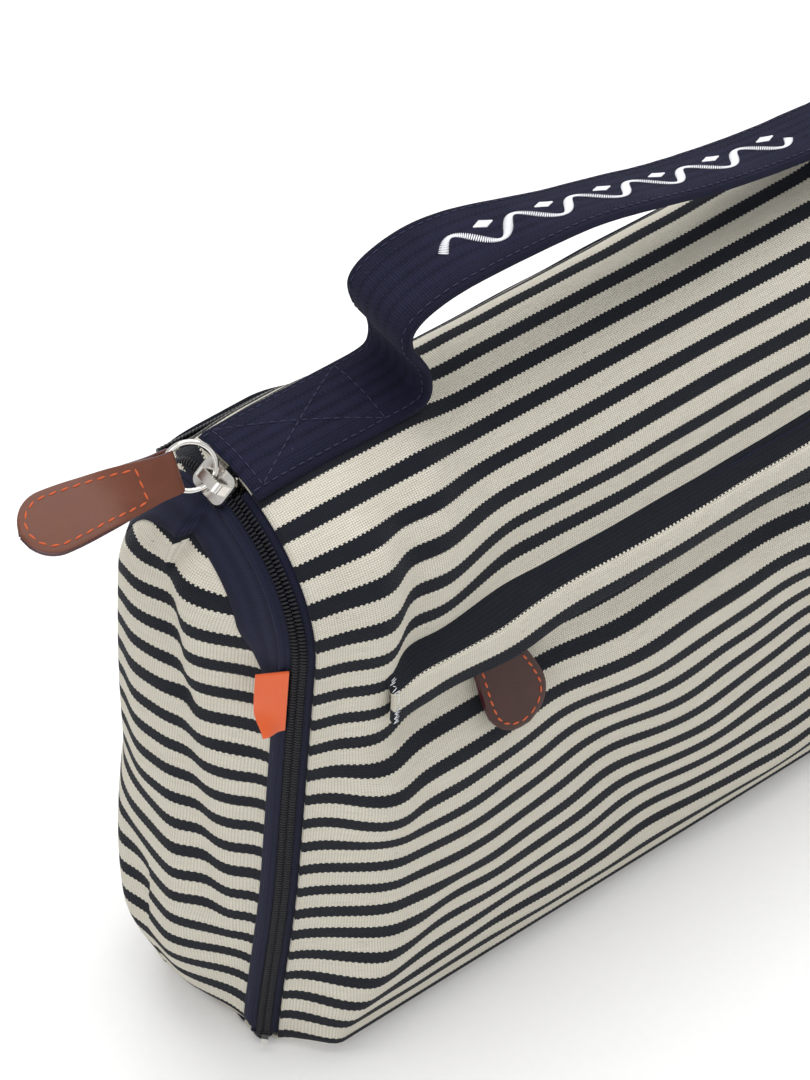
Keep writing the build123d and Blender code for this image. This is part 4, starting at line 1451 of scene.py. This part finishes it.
# ---- handle ----------------------------------------------------------------------------------------
@dataclass
class TopHandle:
    """The navy strap: flat sewn ends on the crown and a stiff arch between them."""
    form: BagForm
    width: float = 28 * MM
    thick: float = 3.0 * MM
    lift_off: float = 250 * MM
    hold: float = 258 * MM
    roll: float = 22.0                # how far the arch leans back, in degrees
    route: Route = field(init=False)

    def __post_init__(self) -> None:
        """Lay the strap's centre line out."""
        corners = [(-142.4, 248.2), (-137, 249.0), (-120, 249.3), (-98, 249.4), (-85, 249.6), (-82, 254),
                   (-84, 262.5), (-90.5, 271.5), (-92.5, 283.0), (-80, 289.5), (-62, 290.0), (-30, 284.0),
                   (-2, 276.0), (18, 269.0), (55, 260.5), (80, 258.6), (94, 256.5), (92, 250.0), (98, 249.4),
                   (120, 249.3), (140.5, 249.2)]
        self.route = Route(spline_points([(x * MM, z * MM) for x, z in corners]))

    def spot(self, d: float, y: float, n: float) -> Vector:
        """A place on the strap: d along it, y across, n above its centre line."""
        here = self.route.at(d)
        ahead = self.route.heading(d, 1.6 * MM)
        up = Vector((-ahead.z, 0, ahead.x))
        on_crown = 1 - smooth((here.z - self.lift_off) / (12 * MM))
        drop = (self.form.radius - math.sqrt(self.form.radius ** 2 - y * y)) * on_crown
        sway = 0.7 * MM * math.sin(d / self.route.length * 9.0) * (1 - on_crown)
        lean = math.radians(self.roll) * smooth((here.x + 78 * MM) / (60 * MM))
        lean *= smooth((98 * MM - here.x) / (16 * MM))
        across = Vector((0, math.cos(lean), 0)) - up * math.sin(lean)
        above = up * math.cos(lean) + Vector((0, math.sin(lean), 0))
        return here + above * n + across * y + Vector((0, sway, -drop))

    def strap(self) -> None:
        """The strap itself, a flat tube with rolled edges."""
        half_w, half_t = self.width / 2, self.thick / 2
        around = 40
        length = self.route.length

        def place(u: float, v: float) -> Vector:
            """A point of the strap, from its shares along and around."""
            angle = 2 * math.pi * v
            cosine, sine = math.cos(angle), math.sin(angle)
            y = half_w * math.copysign(abs(cosine) ** 0.28, cosine)
            n = half_t * math.copysign(abs(sine) ** 0.45, sine)
            end = min(u, 1 - u) * length
            slim = smooth(end / (2.0 * MM)) * 0.9 + 0.1
            edge = abs(y) / half_w
            groove = 0.30 * MM * math.exp(-(((edge - 0.86) / 0.035) ** 2))
            puff = 0.08 * MM * noise.noise(Vector((u * 60, y * 200, 0)))
            n = (n - math.copysign(groove, n) * min(1.0, abs(n) / (0.5 * half_t)) + puff) * slim
            return self.spot(u * length, y, n)

        strap = draped("handle_webbing", (300, around), (length, 2 * (self.width + self.thick)), place,
                       closed=True)
        edit_all(strap, lambda: bpy.ops.mesh.fill_holes(sides=around + 2))
        face_outwards(strap)
        shade_by_angle(strap, 60)
        fit(strap, Twill("navy_twill").make(), "navy_twill", "", "handle_strap", "handle_core",
            "handle_end_left", "handle_end_right")
        self.bend(strap)

    def bend(self, piece: bpy.types.Object) -> None:
        """Bake a piece's placement into its mesh."""
        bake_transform(piece)

    def topstitching(self) -> None:
        """Two rows along the edges, and a crossed box on each sewn end."""
        places = []
        top = self.thick / 2 + 0.06 * MM
        y_line = self.width / 2 - 2.1 * MM
        pitch = 3.0 * MM
        count = int(self.route.length / pitch)
        for i in range(count):
            d = (i + 0.5) * pitch
            for y in (-y_line, y_line):
                here, ahead = self.spot(d, y, top - 0.2 * MM), self.spot(d + MM, y, top - 0.2 * MM)
                over = self.spot(d, y, top + MM)
                places.append(axes(here, ahead - here, over - here))
        box_start, box_long = 3.5 * MM, 42 * MM
        for at_end in (False, True):
            corners = [(box_start, -y_line), (box_start + box_long, y_line), (box_start + box_long, -y_line),
                       (box_start, y_line), (box_start, -y_line)]
            line = Route([Vector((d, y, 0)) for d, y in corners])
            steps = int(line.length / pitch)
            for i in range(steps):
                a, b = line.at((i + 0.2) * pitch), line.at((i + 0.95) * pitch)
                if at_end:
                    a.x, b.x = self.route.length - a.x, self.route.length - b.x
                here, ahead = self.spot(a.x, a.y, top), self.spot(b.x, b.y, top)
                over = self.spot(a.x, a.y, top + MM)
                places.append(axes(here.lerp(ahead, 0.5), ahead - here, over - here))
        rows = repeat("handle_topstitching", bead(6, 5, (2.3 * MM, 0.5 * MM, 0.42 * MM)), places)
        fit(rows, Plain("navy_thread", tint(46, 46, 74), tint(30, 30, 52), 0.7, 0.25, 0.04, 0.06).make(),
            "navy_twill", "")
        self.bend(rows)

    def embroidery(self) -> None:
        """A plain border in white satin stitch: a row of waves with a lozenge over each trough."""
        low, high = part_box("handle_embroidery")
        marks = [d for d in (self.route.length * i / 900 for i in range(900))
                 if low[0] <= self.route.at(d).x <= high[0] and self.route.at(d).z > 259 * MM]
        start, stop = marks[0], marks[-1]
        count = 6
        wave, swing = (stop - start) / count, 4.2 * MM
        top, step = self.thick / 2 + 0.18 * MM, 0.42 * MM
        places = []

        def stitch(d: float, y: float, lean: tuple[float, float], stretch: float) -> None:
            """Lay one satin stitch across the line at a place."""
            here = self.spot(d, y, top)
            tip = self.spot(d + lean[0] * MM, y + lean[1] * MM, top)
            over = self.spot(d, y, top + MM)
            places.append(axes(here, tip - here, over - here) @ Matrix.Scale(stretch, 4, (1, 0, 0)))

        for i in range(int((stop - start) / step)):
            d = start + i * step
            phase = 2 * math.pi * (d - start) / wave
            slope = swing * math.cos(phase) * 2 * math.pi / wave
            norm = math.hypot(1.0, slope)
            heavy = 0.75 + 0.45 * abs(math.cos(phase))
            stitch(d, swing * math.sin(phase) - 1.2 * MM, (-slope / norm, 1 / norm), heavy * min(1.6, norm))
        for crest in range(count):
            middle = start + (crest + 0.75) * wave
            for i in range(-9, 10):
                reach = 1 - abs(i) / 10
                stitch(middle + i * 0.36 * MM, 3.0 * MM, (0, 1), 2.3 * reach + 0.15)
        satin = repeat("handle_border", bead(6, 5, (1.7 * MM, 0.5 * MM, 0.5 * MM)), places)
        white = Plain("satin_thread", tint(238, 238, 240), tint(206, 208, 216), 0.55, 0.2, 0.04, 0.09)
        fit(satin, white.make(), "white_thread", "handle", "handle_embroidery")

    def build(self) -> None:
        """Make the strap and its threads."""
        self.strap()
        self.topstitching()
        self.embroidery()


# ---- label tab -------------------------------------------------------------------------------------
def seam_label(form: BagForm) -> None:
    """The plain orange label, caught in the left end seam, its lower corner curled.

    Args:
        form: The bag's outline.
    """
    low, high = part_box("seam_tab")
    reach = high[0] - low[0] + 1.0 * MM

    def place(u: float, v: float) -> Vector:
        """A point of the label, out from the seam and down."""
        z = lerp(high[2], low[2], v) - 1.5 * MM * u
        curl = 3.4 * MM * smooth(u) * smooth((v - 0.5) / 0.5) ** 2
        wave = 0.5 * MM * math.sin(v * 5.0 + 0.6) * u
        point = form.seam(Side.LEFT, form.up_front(z), 2.4 * MM + u * reach - curl,
                          1.7 * MM + wave + 1.5 * u * MM + curl)
        return point + Vector((0, 0, 0.6 * curl))

    label = draped("orange_label", (18, 40), (reach, high[2] - low[2]), place)
    thicken(label, 0.9 * MM)
    round_edges(label, 0.2 * MM)
    orange = Woven("orange_label_cloth", tint(228, 100, 44), tint(200, 80, 34), 0.45)
    fit(label, orange.make(), "orange_felt", "bag_body", "seam_tab")


# ---- studio ----------------------------------------------------------------------------------------
@dataclass(frozen=True)
class Studio:
    """A plain pale floor, soft light and the camera."""
    eye: Vector = Vector((-0.5722, -0.5466, 1.0609))
    right: Vector = Vector((0.7897, -0.6097, 0.0676))
    ahead: Vector = Vector((0.4298, 0.4713, -0.7701))
    lens: float = 129.4

    def camera(self) -> None:
        """The long-lens camera, above and left of the front."""
        data = bpy.data.cameras.new("studio_camera")
        data.lens, data.sensor_width, data.sensor_fit = self.lens, 36.0, "AUTO"
        data.clip_start, data.clip_end = 0.05, 50.0
        camera = bpy.data.objects.new("studio_camera", data)
        bpy.context.collection.objects.link(camera)
        back = -self.ahead.normalized()
        up = back.cross(self.right).normalized()
        right = up.cross(back)
        turn = Matrix((right, up, back)).transposed().to_4x4()
        camera.matrix_world = Matrix.Translation(self.eye) @ turn
        bpy.context.scene.camera = camera

    def floor(self) -> None:
        """A pale floor that fades into the background."""
        clear_selection()
        bpy.ops.mesh.primitive_plane_add(size=8, location=(0, 0, -0.0004))
        plane = bpy.context.object
        plane.name = "studio_floor"
        r = Recipe("floor_paper")
        grain = r.noise(r.coords("Object"), 3.0, 2.0)
        base = r.mix(grain, (0.93, 0.93, 0.93, 1), (0.96, 0.96, 0.96, 1))
        plane.data.materials.append(r.finish(Base_Color=base, Roughness=0.9))

    def lamp(self, name: str, place: Vector, size: float, power: float) -> None:
        """One soft square lamp that looks at the bag.

        Args:
            name: The lamp's name.
            place: Where it hangs.
            size: The length of its side.
            power: Its strength in watts.
        """
        data = bpy.data.lights.new(name, "AREA")
        data.size, data.energy = size, power
        lamp = bpy.data.objects.new(name, data)
        bpy.context.collection.objects.link(lamp)
        lamp.location = place
        lamp.rotation_euler = (Vector((0, 0, 0.13)) - place).to_track_quat("-Z", "Y").to_euler()

    def build(self) -> None:
        """Set the whole studio up."""
        self.camera()
        self.floor()
        self.lamp("key", Vector((0.3, 0.5, 2.2)), 2.2, 44)
        self.lamp("fill", Vector((-1.7, -0.8, 1.3)), 1.6, 9)
        self.lamp("front", Vector((0.6, -1.9, 1.2)), 1.6, 3)
        world = bpy.data.worlds.new("pale_room")
        bpy.context.scene.world = world
        world.use_nodes = True
        world.node_tree.nodes["Background"].inputs[0].default_value = (1, 1, 1, 1)
        world.node_tree.nodes["Background"].inputs[1].default_value = 0.68
        bpy.context.scene.view_settings.view_transform = "Standard"


def main() -> None:
    """Build the bag in order and report each piece."""
    form = BagForm.read()
    Studio().build()
    shell = CanvasShell(form)
    shell.build()
    Linings(shell).build()
    MainZip(shell).build()
    MainPull().build()
    FrontPocket(shell).build()
    TopHandle(form).build()
    seam_label(form)
    soft = ("canvas", "padding", "lining", "tape", "coil", "binding")
    packed = set(frame["nodes"].values())
    for piece in [o for o in bpy.context.scene.objects if o.type == "MESH" and o not in packed]:
        if any(word in piece.name for word in soft) and "pocket" not in piece.name:
            form.settle(piece)
        LOG.info("%s: %d faces", piece.name, len(piece.data.polygons))


if __name__ == "__main__":
    logging.basicConfig(level=logging.INFO)
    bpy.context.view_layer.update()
    main()
